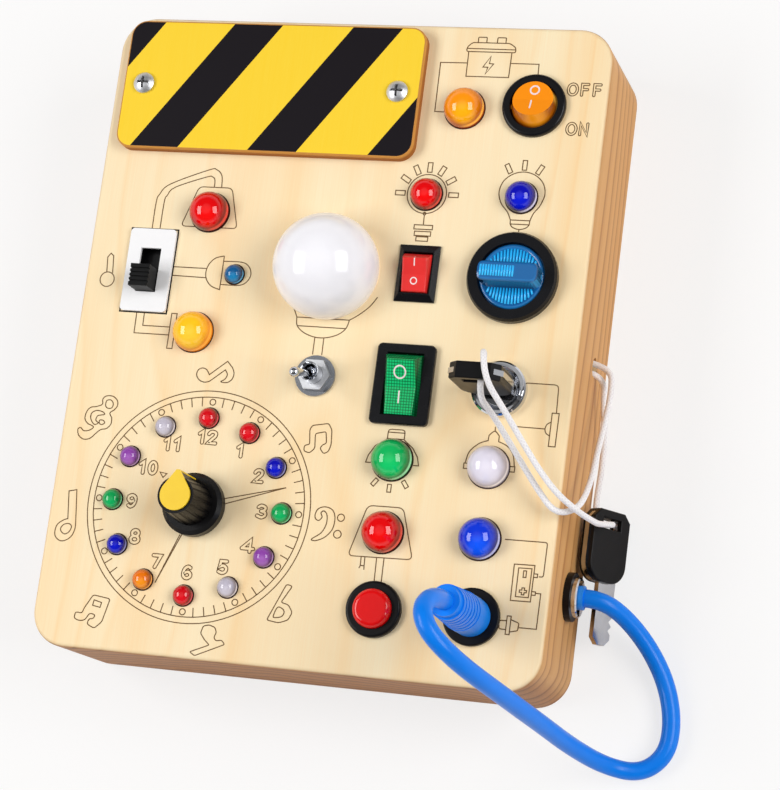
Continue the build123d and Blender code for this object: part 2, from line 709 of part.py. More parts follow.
# ------------------------------------------------------------------------------------------------
# Wooden body: rounded block, hollow from the back, with a rebate for the back cover
# ------------------------------------------------------------------------------------------------
with BuildPart() as wood_body:
    with BuildSketch(Plane.XY):
        RectangleRounded(BOARD_W, BOARD_H, CORNER_R)
    extrude(amount=BOARD_T)
    outline = wood_body.edges().group_by(Axis.Z)
    fillet(outline[0] + outline[-1], EDGE_R)
    with BuildSketch(Plane.XY):
        RectangleRounded(CAVITY_W, CAVITY_H, CAVITY_R)
    extrude(amount=INNER_Z, mode=Mode.SUBTRACT)
    with BuildSketch(Plane.XY):
        RectangleRounded(REBATE_W, REBATE_H, REBATE_R)
    extrude(amount=COVER_T, mode=Mode.SUBTRACT)
    # round and square holes through the front
    with BuildSketch(Plane.XY.offset(FACE_Z)):
        with Locations(SLIDE_AT):
            Rectangle(SLIDE_BODY_W + 2 * PANEL_FIT, SLIDE_BODY_L + 2 * PANEL_FIT)
        with Locations(ROUND_AT):
            Circle(ROUND_BODY_D / 2 + PANEL_FIT)
        with Locations(RED_AT):
            Rectangle(RED_BODY_W + 2 * PANEL_FIT, RED_BODY_H + 2 * PANEL_FIT)
        with Locations(GREEN_AT):
            Rectangle(GREEN_BODY_W + 2 * PANEL_FIT, GREEN_BODY_H + 2 * PANEL_FIT)
        with Locations(ROTARY_AT):
            Circle(ROTARY_BARREL_D / 2 + PANEL_FIT)
        with Locations(TOGGLE_AT):
            Circle(TOGGLE_BUSH_D / 2 + PANEL_FIT)
        with Locations(LOCK_AT):
            Circle(LOCK_BARREL_D / 2 + PANEL_FIT)
        with Locations(PUSH_AT):
            Circle(PUSH_BARREL_D / 2 + PANEL_FIT)
        with Locations(SOCKET_AT):
            Circle(SOCKET_BARREL_D / 2 + PANEL_FIT)
        with Locations(CLOCK_AT):
            Circle(BUSH_D / 2 + PANEL_FIT)
        with Locations(GLOBE_AT):
            Circle(GLOBE_BARREL_D / 2 + PANEL_FIT)
        with Locations(*RED_LAMPS, BLUE_LAMP, YELLOW_LAMP, AMBER_LAMP, GREEN_LAMP, WHITE_LAMP):
            Circle(BIG_LAMP_D / 2 + PANEL_FIT)
        with Locations(RED_MID_LAMP, BLUE_MID_LAMP):
            Circle(MID_LAMP_D / 2 + PANEL_FIT)
        with Locations(BLUE_SMALL_LAMP):
            Circle(SMALL_LAMP_D / 2 + PANEL_FIT)
        with Locations(*clock_lamp_places(range(CLOCK_HOURS))):
            Circle(CLOCK_LAMP_D / 2 + PANEL_FIT)
        with Locations(HOLDER_AT):
            Rectangle(TRAY_L + 2 * SEAT_GAP, TRAY_W + 2 * SEAT_GAP)
    extrude(amount=-HOLDER_DEPTH, mode=Mode.SUBTRACT)
    # shallow rebate for the lip of the battery holder
    with BuildSketch(Plane.XY.offset(FACE_Z)):
        with Locations(HOLDER_AT):
            Rectangle(TRAY_L + 2 * HOLDER_LIP + 2 * SEAT_GAP, TRAY_W + 2 * HOLDER_LIP + 2 * SEAT_GAP)
    extrude(amount=-HOLDER_LIP_T, mode=Mode.SUBTRACT)
    # pocket from behind that leaves a thin skin under the toggle switch
    with BuildSketch(Plane.XY.offset(FACE_Z - TOGGLE_SKIN)):
        with Locations(TOGGLE_AT):
            Rectangle(TOGGLE_BODY_W + 2 * TOGGLE_POCKET_GAP, TOGGLE_BODY_H + 2 * TOGGLE_POCKET_GAP)
    extrude(amount=-FRONT_WALL, mode=Mode.SUBTRACT)
    # pilot holes of the cover plate's screws
    with BuildSketch(Plane.XY.offset(FACE_Z)):
        with Locations(PLATE_AT):
            with GridLocations(PLATE_SCREW_PITCH, 0, 2, 1):
                Circle(SCREW_D / 2 + PILOT_FIT)
    extrude(amount=PLATE_T - PLATE_SCREW_L - SEAT_GAP, mode=Mode.SUBTRACT)
    # pilot holes of the back cover's screws
    with BuildSketch(Plane.XY):
        with GridLocations(COVER_SCREW_DX, COVER_SCREW_PITCH_Y, 2, 3):
            Circle(SCREW_D / 2 + PILOT_FIT)
    extrude(amount=COVER_SCREW_L + SEAT_GAP, mode=Mode.SUBTRACT)
    # cable gland and cord hole in the right side
    with BuildSketch(Plane.YZ.offset(SIDE_X)):
        with Locations((GLAND_Y, SIDE_HOLE_Z)):
            Circle(GLAND_BARREL_D / 2 + PANEL_FIT)
        with Locations((CORD_HOLE_Y, SIDE_HOLE_Z)):
            Circle(CORD_HOLE_D / 2)
    extrude(amount=-SIDE_WALL - PANEL_FIT, mode=Mode.SUBTRACT)

# ------------------------------------------------------------------------------------------------
# Back cover and its countersunk screws
# ------------------------------------------------------------------------------------------------
with BuildPart() as back_cover:
    with BuildSketch(Plane.XY):
        RectangleRounded(REBATE_W - 2 * COVER_GAP, REBATE_H - 2 * COVER_GAP, REBATE_R - COVER_GAP)
    extrude(amount=COVER_T)
    with BuildSketch(Plane.XY):
        with GridLocations(COVER_SCREW_DX, COVER_SCREW_PITCH_Y, 2, 3):
            Circle(SCREW_D / 2 + SCREW_HOLE_FIT)
    extrude(amount=COVER_T, mode=Mode.SUBTRACT)
    with GridLocations(COVER_SCREW_DX, COVER_SCREW_PITCH_Y, 2, 3):
        Cone(
            COVER_SCREW_HEAD_D / 2 + HEAD_FIT,
            SCREW_D / 2 + HEAD_FIT,
            COVER_SCREW_HEAD_H,
            align=(Align.CENTER, Align.CENTER, Align.MIN),
            mode=Mode.SUBTRACT,
        )

with BuildPart() as one_cover_screw:
    with BuildSketch(Plane.XZ):
        with BuildLine():
            Polyline(
                (0, 0), (COVER_SCREW_HEAD_D / 2, 0), (SCREW_D / 2, COVER_SCREW_HEAD_H),
                (SCREW_D / 2, COVER_SCREW_L - SCREW_POINT), (0, COVER_SCREW_L), close=True,
            )
        make_face()
    revolve(axis=Axis.Z)

with BuildPart() as back_cover_screws:
    with GridLocations(COVER_SCREW_DX, COVER_SCREW_PITCH_Y, 2, 3):
        add(one_cover_screw.part)

# ------------------------------------------------------------------------------------------------
# Striped cover plate, its two cross-head screws, battery holder and cells
# ------------------------------------------------------------------------------------------------
with BuildPart() as battery_cover_plate:
    with BuildSketch(Plane.XY.offset(FACE_Z)):
        with Locations(PLATE_AT):
            RectangleRounded(PLATE_W, PLATE_H, PLATE_R)
    extrude(amount=PLATE_T)
    fillet(battery_cover_plate.edges().group_by(Axis.Z)[-1], PLATE_EDGE_R)
    with BuildSketch(Plane.XY.offset(FACE_Z)):
        with Locations(PLATE_AT):
            with GridLocations(PLATE_SCREW_PITCH, 0, 2, 1):
                Circle(SCREW_D / 2 + SCREW_HOLE_FIT)
    extrude(amount=PLATE_T, mode=Mode.SUBTRACT)

with BuildPart() as one_plate_screw:
    head_z = FACE_Z + PLATE_T
    dome_h = PAN_HEAD_H - PAN_HEAD_RIM
    dome_r = (PAN_HEAD_D**2 / 4 + dome_h**2) / (2 * dome_h)
    with BuildSketch(Plane.XZ):
        with BuildLine():
            Polyline(
                (0, head_z + PAN_HEAD_H), (0, head_z - PLATE_SCREW_L),
                (SCREW_D / 2, head_z - PLATE_SCREW_L + SCREW_POINT), (SCREW_D / 2, head_z),
                (PAN_HEAD_D / 2, head_z), (PAN_HEAD_D / 2, head_z + PAN_HEAD_RIM),
            )
            RadiusArc(
                (PAN_HEAD_D / 2, head_z + PAN_HEAD_RIM), (0, head_z + PAN_HEAD_H), -dome_r
            )
        make_face()
    revolve(axis=Axis.Z)
    with BuildSketch(Plane.XY.offset(head_z + PAN_HEAD_H)):
        Rectangle(CROSS_L, CROSS_W)
        Rectangle(CROSS_W, CROSS_L)
    extrude(amount=-CROSS_DEPTH, mode=Mode.SUBTRACT)

with BuildPart() as plate_screws:
    with Locations(PLATE_AT):
        with GridLocations(PLATE_SCREW_PITCH, 0, 2, 1):
            add(one_plate_screw.part)

with BuildPart() as battery_holder:
    with BuildSketch(Plane.XY.offset(FACE_Z)):
        with Locations(HOLDER_AT):
            Rectangle(TRAY_L, TRAY_W)
    extrude(amount=-HOLDER_DEPTH)
    with BuildSketch(Plane.XY.offset(FACE_Z)):
        with Locations(HOLDER_AT):
            Rectangle(TRAY_L + 2 * HOLDER_LIP, TRAY_W + 2 * HOLDER_LIP)
    extrude(amount=-HOLDER_LIP_T)
    with BuildSketch(Plane.XY.offset(FACE_Z)):
        with Locations(HOLDER_AT):
            Rectangle(TRAY_IN_L, TRAY_IN_W)
    extrude(amount=-HOLDER_DEPTH + HOLDER_WALL, mode=Mode.SUBTRACT)

with BuildPart() as batteries:
    cell_z = FACE_Z - HOLDER_DEPTH + HOLDER_WALL + CELL_SEAT + CELL_D / 2
    with BuildSketch(Plane.YZ.offset(HOLDER_AT[0] - CELL_L / 2)):
        with Locations((HOLDER_AT[1], cell_z)):
            with GridLocations(CELL_D + CELL_GAP, 0, CELL_COUNT, 1):
                Circle(CELL_D / 2)
    extrude(amount=CELL_L - CELL_NUB_L)
    with BuildSketch(Plane.YZ.offset(HOLDER_AT[0] + CELL_L / 2)):
        with Locations((HOLDER_AT[1], cell_z)):
            with GridLocations(CELL_D + CELL_GAP, 0, CELL_COUNT, 1):
                Circle(CELL_NUB_D / 2)
    extrude(amount=-CELL_NUB_L)

# ------------------------------------------------------------------------------------------------
# Slide switch
# ------------------------------------------------------------------------------------------------
with BuildPart() as slide_switch_plate:
    with BuildSketch(Plane.XY.offset(FACE_Z)):
        with Locations(SLIDE_AT):
            RectangleRounded(SLIDE_PLATE_W, SLIDE_PLATE_H, SLIDE_PLATE_R)
            Rectangle(SLOT_W, SLOT_L, mode=Mode.SUBTRACT)
    extrude(amount=SLIDE_PLATE_T)

with BuildPart() as slide_switch_body:
    with BuildSketch(Plane.XY.offset(FACE_Z)):
        with Locations(SLIDE_AT):
            Rectangle(SLIDE_BODY_W, SLIDE_BODY_L)
    extrude(amount=-SLIDE_BODY_T)
    with BuildSketch(Plane.XY.offset(FACE_Z)):
        with Locations(SLIDE_AT):
            Rectangle(SLIDE_POCKET_W, SLIDE_POCKET_L)
    extrude(amount=-SLIDE_POCKET_T, mode=Mode.SUBTRACT)

with BuildPart() as slide_switch_knob:
    knob_top_z = FACE_Z + SLIDE_PLATE_T + SLIDE_KNOB_H
    with BuildSketch(Plane.XY.offset(FACE_Z - SEAT_GAP)):
        with Locations((SLIDE_AT[0], SLIDE_REST_Y)):
            Rectangle(CARRIAGE_W, CARRIAGE_L)
    extrude(amount=-CARRIAGE_T)
    with BuildSketch(Plane.XY.offset(FACE_Z - SEAT_GAP)):
        with Locations((SLIDE_AT[0], SLIDE_REST_Y)):
            Rectangle(SLIDE_KNOB_W, SLIDE_KNOB_L)
    extrude(amount=knob_top_z - FACE_Z + SEAT_GAP)
    with BuildSketch(Plane.XY.offset(knob_top_z)):
        with Locations((SLIDE_AT[0], SLIDE_REST_Y)):
            with GridLocations(0, SLIDE_RIB_PITCH, 1, SLIDE_RIBS):
                Rectangle(SLIDE_KNOB_W, SLIDE_RIB_W)
    extrude(amount=-SLIDE_RIB_DEPTH, mode=Mode.SUBTRACT)

# ------------------------------------------------------------------------------------------------
# Rocker switches
# ------------------------------------------------------------------------------------------------
with BuildPart() as round_rocker_bezel:
    pocket_z = FACE_Z - ROUND_PIVOT - rocker_floor(ROUND_OPENING_D)
    with BuildSketch(Plane.XY.offset(FACE_Z)):
        with Locations(ROUND_AT):
            Circle(ROUND_FLANGE_D / 2)
    extrude(amount=ROUND_FLANGE_T)
    fillet(round_rocker_bezel.edges().group_by(Axis.Z)[-1], ROUND_FLANGE_T / 2)
    with BuildSketch(Plane.XY.offset(FACE_Z)):
        with Locations(ROUND_AT):
            Circle(ROUND_BODY_D / 2)
    extrude(amount=-ROUND_BODY_T)
    with BuildSketch(Plane.XY.offset(FACE_Z + ROUND_FLANGE_T)):
        with Locations(ROUND_AT):
            Circle(ROUND_OPENING_D / 2)
    extrude(amount=pocket_z - FACE_Z - ROUND_FLANGE_T, mode=Mode.SUBTRACT)
    with BuildSketch(side_plane(ROUND_AT, FACE_Z - ROUND_PIVOT, 0)):
        Circle(STUB_D / 2 + RUNNING_FIT)
    extrude(amount=ROUND_BODY_D / 2, both=True, mode=Mode.SUBTRACT)

round_rocker_button = round_rocker(
    ROUND_AT, ROUND_PIVOT, -ROCKER_TILT, ROUND_OPENING_D, ROUND_VALLEY, ROUND_DISH
)

with BuildPart() as red_rocker_bezel:
    pocket_z = FACE_Z - RED_PIVOT - rocker_floor(RED_OPENING_H)
    with BuildSketch(Plane.XY.offset(FACE_Z)):
        with Locations(RED_AT):
            Rectangle(RED_FLANGE_W, RED_FLANGE_H)
    extrude(amount=RED_FLANGE_LIP)
    with BuildSketch(Plane.XY.offset(FACE_Z + RED_FLANGE_LIP)):
        with Locations(RED_AT):
            Rectangle(RED_FLANGE_W, RED_FLANGE_H)
    with BuildSketch(Plane.XY.offset(FACE_Z + RED_FLANGE_T)):
        with Locations(RED_AT):
            Rectangle(RED_OPENING_W + 2 * RED_RIM, RED_OPENING_H + 2 * RED_RIM)
    loft(ruled=True)
    with BuildSketch(Plane.XY.offset(FACE_Z)):
        with Locations(RED_AT):
            Rectangle(RED_BODY_W, RED_BODY_H)
    extrude(amount=-RED_BODY_T)
    with BuildSketch(Plane.XY.offset(FACE_Z + RED_FLANGE_T)):
        with Locations(RED_AT):
            Rectangle(RED_OPENING_W, RED_OPENING_H)
    extrude(amount=pocket_z - FACE_Z - RED_FLANGE_T, mode=Mode.SUBTRACT)
    with BuildSketch(side_plane(RED_AT, FACE_Z - RED_PIVOT, 0)):
        Circle(STUB_D / 2 + RUNNING_FIT)
    extrude(amount=RED_BODY_W / 2, both=True, mode=Mode.SUBTRACT)

red_rocker_button = rocker_button(
    RED_AT, RED_PIVOT, ROCKER_TILT, RED_OPENING_W, RED_OPENING_H, RED_FACE_W, RED_VALLEY, RED_DISH
)

with BuildPart() as green_rocker_bezel:
    pocket_z = FACE_Z - GREEN_PIVOT - rocker_floor(GREEN_OPENING_H)
    with BuildSketch(Plane.XY.offset(FACE_Z)):
        with Locations(GREEN_AT):
            RectangleRounded(GREEN_FLANGE_W, GREEN_FLANGE_H, GREEN_FLANGE_R)
    extrude(amount=GREEN_FLANGE_T)
    chamfer(green_rocker_bezel.edges().group_by(Axis.Z)[-1], GREEN_EDGE)
    with BuildSketch(Plane.XY.offset(FACE_Z)):
        with Locations(GREEN_AT):
            Rectangle(GREEN_BODY_W, GREEN_BODY_H)
    extrude(amount=-GREEN_BODY_T)
    with BuildSketch(Plane.XY.offset(FACE_Z + GREEN_FLANGE_T)):
        with Locations(GREEN_AT):
            Rectangle(GREEN_OPENING_W, GREEN_OPENING_H)
    extrude(amount=pocket_z - FACE_Z - GREEN_FLANGE_T, mode=Mode.SUBTRACT)
    with BuildSketch(side_plane(GREEN_AT, FACE_Z - GREEN_PIVOT, 0)):
        Circle(STUB_D / 2 + RUNNING_FIT)
    extrude(amount=GREEN_BODY_W / 2, both=True, mode=Mode.SUBTRACT)

green_rocker_button = rocker_button(
    GREEN_AT, GREEN_PIVOT, ROCKER_TILT, GREEN_OPENING_W, GREEN_OPENING_H,
    GREEN_FACE_W, GREEN_VALLEY, GREEN_DISH,
)

# ------------------------------------------------------------------------------------------------
# Rotary switch
# ------------------------------------------------------------------------------------------------
with BuildPart() as rotary_switch_bezel:
    with BuildSketch(Plane.XY.offset(FACE_Z)):
        with Locations(ROTARY_AT):
            Circle(ROTARY_FLANGE_D / 2)
    extrude(amount=ROTARY_FLANGE_T)
    chamfer(
        rotary_switch_bezel.edges().group_by(Axis.Z)[-1], ROTARY_FLANGE_SLOPE, ROTARY_FLANGE_SLOPE / 2
    )
    with BuildSketch(Plane.XY.offset(FACE_Z)):
        with Locations(ROTARY_AT):
            Circle(ROTARY_BARREL_D / 2)
    extrude(amount=-ROTARY_BARREL_L)
    with BuildSketch(Plane.XY.offset(FACE_Z + ROTARY_FLANGE_T)):
        with Locations(ROTARY_AT):
            Circle(ROTARY_OPENING_D / 2)
    extrude(amount=-ROTARY_FLANGE_T - ROTARY_POCKET, mode=Mode.SUBTRACT)
    with BuildSketch(Plane.XY.offset(FACE_Z)):
        with Locations(ROTARY_AT):
            Circle(ROTARY_STEM_D / 2 + RUNNING_FIT)
    extrude(amount=-ROTARY_POCKET - ROTARY_STEM_L, mode=Mode.SUBTRACT)

with BuildPart() as rotary_switch_knob:
    disc_low_z = FACE_Z - ROTARY_POCKET + SEAT_GAP
    disc_top_z = FACE_Z + ROTARY_DISC_H
    with BuildSketch(Plane.XY.offset(disc_low_z)):
        with Locations(ROTARY_AT):
            Circle(ROTARY_OPENING_D / 2 - ROTARY_KNOB_GAP)
    extrude(amount=disc_top_z - disc_low_z)
    with BuildSketch(Plane.XY.offset(disc_top_z)) as grip_outline:
        with Locations(ROTARY_AT):
            RectangleRounded(GRIP_L, GRIP_W, GRIP_END_R)
    extrude(amount=GRIP_H, taper=GRIP_DRAFT)
    fillet(rotary_switch_knob.edges().group_by(Axis.Z)[-1], GRIP_SOFT_R)
    with BuildSketch(Plane.XY.offset(disc_low_z)):
        with Locations(ROTARY_AT):
            Circle(ROTARY_STEM_D / 2)
    extrude(amount=-ROTARY_STEM_L)

# ------------------------------------------------------------------------------------------------
# Toggle switch
# ------------------------------------------------------------------------------------------------
with BuildPart() as toggle_body:
    with BuildSketch(Plane.XY.offset(FACE_Z - TOGGLE_SKIN)):
        with Locations(TOGGLE_AT):
            Rectangle(TOGGLE_BODY_W, TOGGLE_BODY_H)
    extrude(amount=-TOGGLE_BODY_T)
    with BuildSketch(Plane.XY.offset(FACE_Z - TOGGLE_SKIN)):
        with Locations(TOGGLE_AT):
            Circle(TOGGLE_BUSH_D / 2)
    extrude(amount=TOGGLE_SKIN + TOGGLE_BUSH_TOP)
    with BuildSketch(Plane.XY.offset(FACE_Z + TOGGLE_BUSH_TOP)):
        with Locations(TOGGLE_AT):
            Circle(TOGGLE_BORE_D / 2)
    extrude(
        amount=TOGGLE_PIVOT - TOGGLE_BUSH_TOP - TOGGLE_TAIL_L - TOGGLE_BALL_D / 2 - SEAT_GAP,
        mode=Mode.SUBTRACT,
    )
    chamfer(toggle_body.edges().group_by(Axis.Z)[-1].sort_by(SortBy.LENGTH)[0], TOGGLE_MOUTH)

with BuildPart() as toggle_washer:
    with BuildSketch(Plane.XY.offset(FACE_Z)):
        with Locations(TOGGLE_AT):
            Circle(TOGGLE_WASHER_D / 2)
            Circle(TOGGLE_BUSH_D / 2 + RUNNING_FIT, mode=Mode.SUBTRACT)
    extrude(amount=TOGGLE_WASHER_T)

with BuildPart() as toggle_nut:
    with BuildSketch(Plane.XY.offset(FACE_Z + TOGGLE_WASHER_T)):
        with Locations(TOGGLE_AT):
            RegularPolygon(TOGGLE_NUT_AF / 2, 6, major_radius=False)
            Circle(TOGGLE_BUSH_D / 2 + RUNNING_FIT, mode=Mode.SUBTRACT)
    extrude(amount=TOGGLE_NUT_T)

with BuildPart() as toggle_lever:
    pivot_z = FACE_Z + TOGGLE_PIVOT
    ball_r = TOGGLE_BALL_D / 2
    tip_r = LEVER_TIP_D / 2
    tail_z = -ball_r - TOGGLE_TAIL_L
    neck_z = math.sqrt(ball_r**2 - (LEVER_NECK_D / 2) ** 2)
    tail_top_z = -math.sqrt(ball_r**2 - (TOGGLE_TAIL_D / 2) ** 2)
    tip_low_z = LEVER_L - math.sqrt(tip_r**2 - (LEVER_END_D / 2) ** 2)
    with BuildSketch(end_plane(TOGGLE_AT, pivot_z, TOGGLE_TILT)):
        with BuildLine():
            Polyline((0, tail_z), (TOGGLE_TAIL_D / 2, tail_z), (TOGGLE_TAIL_D / 2, tail_top_z))
            ThreePointArc((TOGGLE_TAIL_D / 2, tail_top_z), (ball_r, 0), (LEVER_NECK_D / 2, neck_z))
            Line((LEVER_NECK_D / 2, neck_z), (LEVER_END_D / 2, tip_low_z))
            ThreePointArc((LEVER_END_D / 2, tip_low_z), (tip_r, LEVER_L), (0, LEVER_L + tip_r))
            Line((0, LEVER_L + tip_r), (0, tail_z))
        make_face()
    revolve(axis=tilted_axis(TOGGLE_AT, pivot_z, TOGGLE_TILT))

# ------------------------------------------------------------------------------------------------
# Key switch, its nut and rotor, and the two keys
# ------------------------------------------------------------------------------------------------
with BuildPart() as key_switch_body:
    top_z = FACE_Z + LOCK_BEZEL_T
    with BuildSketch(Plane.XZ):
        with BuildLine():
            Polyline(
                (0, FACE_Z - LOCK_BARREL_L), (LOCK_BARREL_D / 2, FACE_Z - LOCK_BARREL_L),
                (LOCK_BARREL_D / 2, FACE_Z), (LOCK_BEZEL_D / 2, FACE_Z),
                (LOCK_BEZEL_D / 2, top_z - LOCK_EDGE), (LOCK_BEZEL_D / 2 - LOCK_EDGE, top_z),
                (LOCK_CONE_TOP_D / 2, top_z), (LOCK_CONE_LOW_D / 2, top_z - LOCK_CONE_DEPTH),
                (0, top_z - LOCK_CONE_DEPTH), close=True,
            )
        make_face()
    revolve(axis=Axis.Z)
    with BuildSketch(Plane.XY.offset(top_z - LOCK_CONE_DEPTH)):
        Circle(ROTOR_D / 2 + RUNNING_FIT)
    extrude(amount=ROTOR_LOW_Z - SEAT_GAP - top_z + LOCK_CONE_DEPTH, mode=Mode.SUBTRACT)

with BuildPart() as key_switch_at_place:
    with Locations(LOCK_AT):
        add(key_switch_body.part)

with BuildPart() as key_switch_nut:
    with BuildSketch(Plane.XY.offset(INNER_Z)):
        with Locations(LOCK_AT):
            RegularPolygon(LOCK_NUT_AF / 2, 6, major_radius=False)
            Circle(LOCK_BARREL_D / 2 + RUNNING_FIT, mode=Mode.SUBTRACT)
    extrude(amount=-LOCK_NUT_T)

with BuildPart() as key_switch_rotor:
    with BuildSketch(Plane.XY.offset(ROTOR_LOW_Z)):
        with Locations(LOCK_AT):
            Circle(ROTOR_D / 2)
    extrude(amount=ROTOR_TOP_Z - ROTOR_LOW_Z)
    with BuildSketch(Plane.XY.offset(ROTOR_TOP_Z)):
        with Locations(LOCK_AT):
            Rectangle(KEYWAY_W, KEYWAY_T)
    extrude(amount=KEYWAY_LOW_Z - ROTOR_TOP_Z, mode=Mode.SUBTRACT)

FRONT_KEY = key_plane((LOCK_AT[0] - HEAD_SHIFT, LOCK_AT[1], KEY_TOP_Z), (1, 0, 0), (0, 1, 0))
LEAN = math.radians(SPARE_LEAN)
SPARE_KEY = key_plane(
    SPARE_AT, (math.cos(LEAN), 0, -math.sin(LEAN)), (-math.sin(LEAN), 0, -math.cos(LEAN))
)
front_key_blade = key_blade(FRONT_KEY)
front_key_head = key_head(FRONT_KEY)
spare_key_blade = key_blade(SPARE_KEY)
spare_key_head = key_head(SPARE_KEY)

# ------------------------------------------------------------------------------------------------
# Push button
# ------------------------------------------------------------------------------------------------
with BuildPart() as push_button_body:
    with BuildSketch(Plane.XY.offset(FACE_Z)):
        with Locations(PUSH_AT):
            Circle(PUSH_BEZEL_D / 2)
    extrude(amount=PUSH_BEZEL_T)
    fillet(push_button_body.edges().group_by(Axis.Z)[-1], PUSH_BEZEL_R)
    with BuildSketch(Plane.XY.offset(FACE_Z)):
        with Locations(PUSH_AT):
            Circle(PUSH_BARREL_D / 2)
    extrude(amount=-PUSH_BARREL_L)
    with BuildSketch(Plane.XY.offset(FACE_Z + PUSH_BEZEL_T)):
        with Locations(PUSH_AT):
            Circle(PUSH_CAP_D / 2 + PUSH_FIT)
    extrude(amount=PUSH_FLOOR_Z - FACE_Z - PUSH_BEZEL_T, mode=Mode.SUBTRACT)

with BuildPart() as push_button_cap:
    with BuildSketch(Plane.XY.offset(PUSH_CAP_TOP_Z - PUSH_CAP_L)):
        with Locations(PUSH_AT):
            Circle(PUSH_CAP_D / 2)
    extrude(amount=PUSH_CAP_L)
    fillet(push_button_cap.edges().group_by(Axis.Z)[-1], PUSH_CAP_R)
    with BuildSketch(Plane.XY.offset(PUSH_CAP_TOP_Z - PUSH_CAP_L)):
        with Locations(PUSH_AT):
            Circle(SPRING_D / 2 + SPRING_FIT)
    extrude(amount=PUSH_CAP_POCKET, mode=Mode.SUBTRACT)

with BuildPart() as push_button_spring:
    spring_low_z = PUSH_FLOOR_Z + SPRING_WIRE / 2 + CELL_SEAT
    spring_top_z = PUSH_CAP_TOP_Z - PUSH_CAP_L + PUSH_CAP_POCKET - SPRING_WIRE / 2 - CELL_SEAT
    spring_h = spring_top_z - spring_low_z
    with BuildLine() as coil:
        Helix(
            spring_h / SPRING_TURNS,
            spring_h,
            (SPRING_D - SPRING_WIRE) / 2,
            center=(PUSH_AT[0], PUSH_AT[1], spring_low_z),
        )
    with BuildSketch(coil.line ^ 0):
        Circle(SPRING_WIRE / 2)
    sweep(is_frenet=True)

# ------------------------------------------------------------------------------------------------
# Selector of the clock: body, shaft, nut, fluted knob and its cap with the pointer line
# ------------------------------------------------------------------------------------------------
with BuildPart() as clock_board:
    with BuildSketch(Plane.XY.offset(CLOCK_BOARD_Z)):
        with Locations(CLOCK_AT):
            Circle(CLOCK_BOARD_D / 2)
            Circle(BUSH_D / 2 + PANEL_FIT, mode=Mode.SUBTRACT)
    extrude(amount=CLOCK_BOARD_T)

with BuildPart() as selector_body:
    with BuildSketch(Plane.XY.offset(CLOCK_BOARD_Z)):
        with Locations(CLOCK_AT):
            Circle(SELECTOR_BODY_D / 2)
    extrude(amount=-SELECTOR_BODY_T)
    with BuildSketch(Plane.XY.offset(CLOCK_BOARD_Z)):
        with Locations(CLOCK_AT):
            Circle(BUSH_D / 2)
    extrude(amount=FACE_Z + BUSH_TOP - CLOCK_BOARD_Z)
    with BuildSketch(Plane.XY.offset(FACE_Z + BUSH_TOP)):
        with Locations(CLOCK_AT):
            Circle(SHAFT_D / 2 + SHAFT_FIT)
    extrude(amount=CLOCK_BOARD_Z - SHAFT_BELOW - SEAT_GAP - FACE_Z - BUSH_TOP, mode=Mode.SUBTRACT)

with BuildPart() as selector_nut:
    with BuildSketch(Plane.XY.offset(FACE_Z)):
        with Locations(CLOCK_AT):
            RegularPolygon(SELECTOR_NUT_AF / 2, 6, major_radius=False)
            Circle(BUSH_D / 2 + RUNNING_FIT, mode=Mode.SUBTRACT)
    extrude(amount=SELECTOR_NUT_T)

with BuildPart() as selector_shaft:
    with BuildSketch(Plane.XY.offset(CLOCK_BOARD_Z - SHAFT_BELOW)):
        with Locations(CLOCK_AT):
            Circle(SHAFT_D / 2)
    extrude(amount=FACE_Z + SHAFT_TOP - CLOCK_BOARD_Z + SHAFT_BELOW)

with BuildPart() as selector_knob:
    body_h = KNOB_TOP - SKIRT_TOP
    flute_lean = math.degrees(math.atan((KNOB_LOW_D - KNOB_TOP_D) / 2 / body_h))
    flute_mid_r = (KNOB_LOW_D + KNOB_TOP_D) / 4 + KNOB_FLUTE_OUT
    with BuildSketch(Plane.XZ):
        with BuildLine():
            Polyline(
                (0, KNOB_LOW_Z), (SKIRT_D / 2, KNOB_LOW_Z),
                (SKIRT_D / 2, KNOB_LOW_Z + SKIRT_WALL), (SKIRT_TOP_D / 2, FACE_Z + SKIRT_TOP),
                (KNOB_LOW_D / 2, FACE_Z + SKIRT_TOP), (KNOB_TOP_D / 2, KNOB_TOP_Z),
                (0, KNOB_TOP_Z), close=True,
            )
        make_face()
    revolve(axis=Axis.Z)
    with Locations((0, 0, FACE_Z + (KNOB_TOP + SKIRT_TOP) / 2)):
        with PolarLocations(flute_mid_r, KNOB_FLUTES):
            Cylinder(
                KNOB_FLUTE_D / 2, body_h, rotation=(0, -flute_lean, 0), mode=Mode.SUBTRACT
            )
    with BuildSketch(Plane.XY.offset(FACE_Z + SKIRT_TOP)):
        with BuildLine():
            Polyline(
                (-POINTER_ROOT_W / 2, 0), (-POINTER_TIP_W / 2, POINTER_R),
                (POINTER_TIP_W / 2, POINTER_R), (POINTER_ROOT_W / 2, 0), close=True,
            )
        make_face()
    extrude(amount=body_h)
    with BuildSketch(Plane.XY.offset(KNOB_LOW_Z)):
        Circle(KNOB_RECESS_D / 2)
    extrude(amount=KNOB_RECESS_H, mode=Mode.SUBTRACT)
    with BuildSketch(Plane.XY.offset(KNOB_LOW_Z)):
        Circle(SHAFT_D / 2 + SHAFT_FIT)
    extrude(amount=FACE_Z + SHAFT_TOP + SEAT_GAP - KNOB_LOW_Z, mode=Mode.SUBTRACT)

with BuildPart() as selector_knob_at_place:
    with Locations(CLOCK_AT):
        add(selector_knob.part)

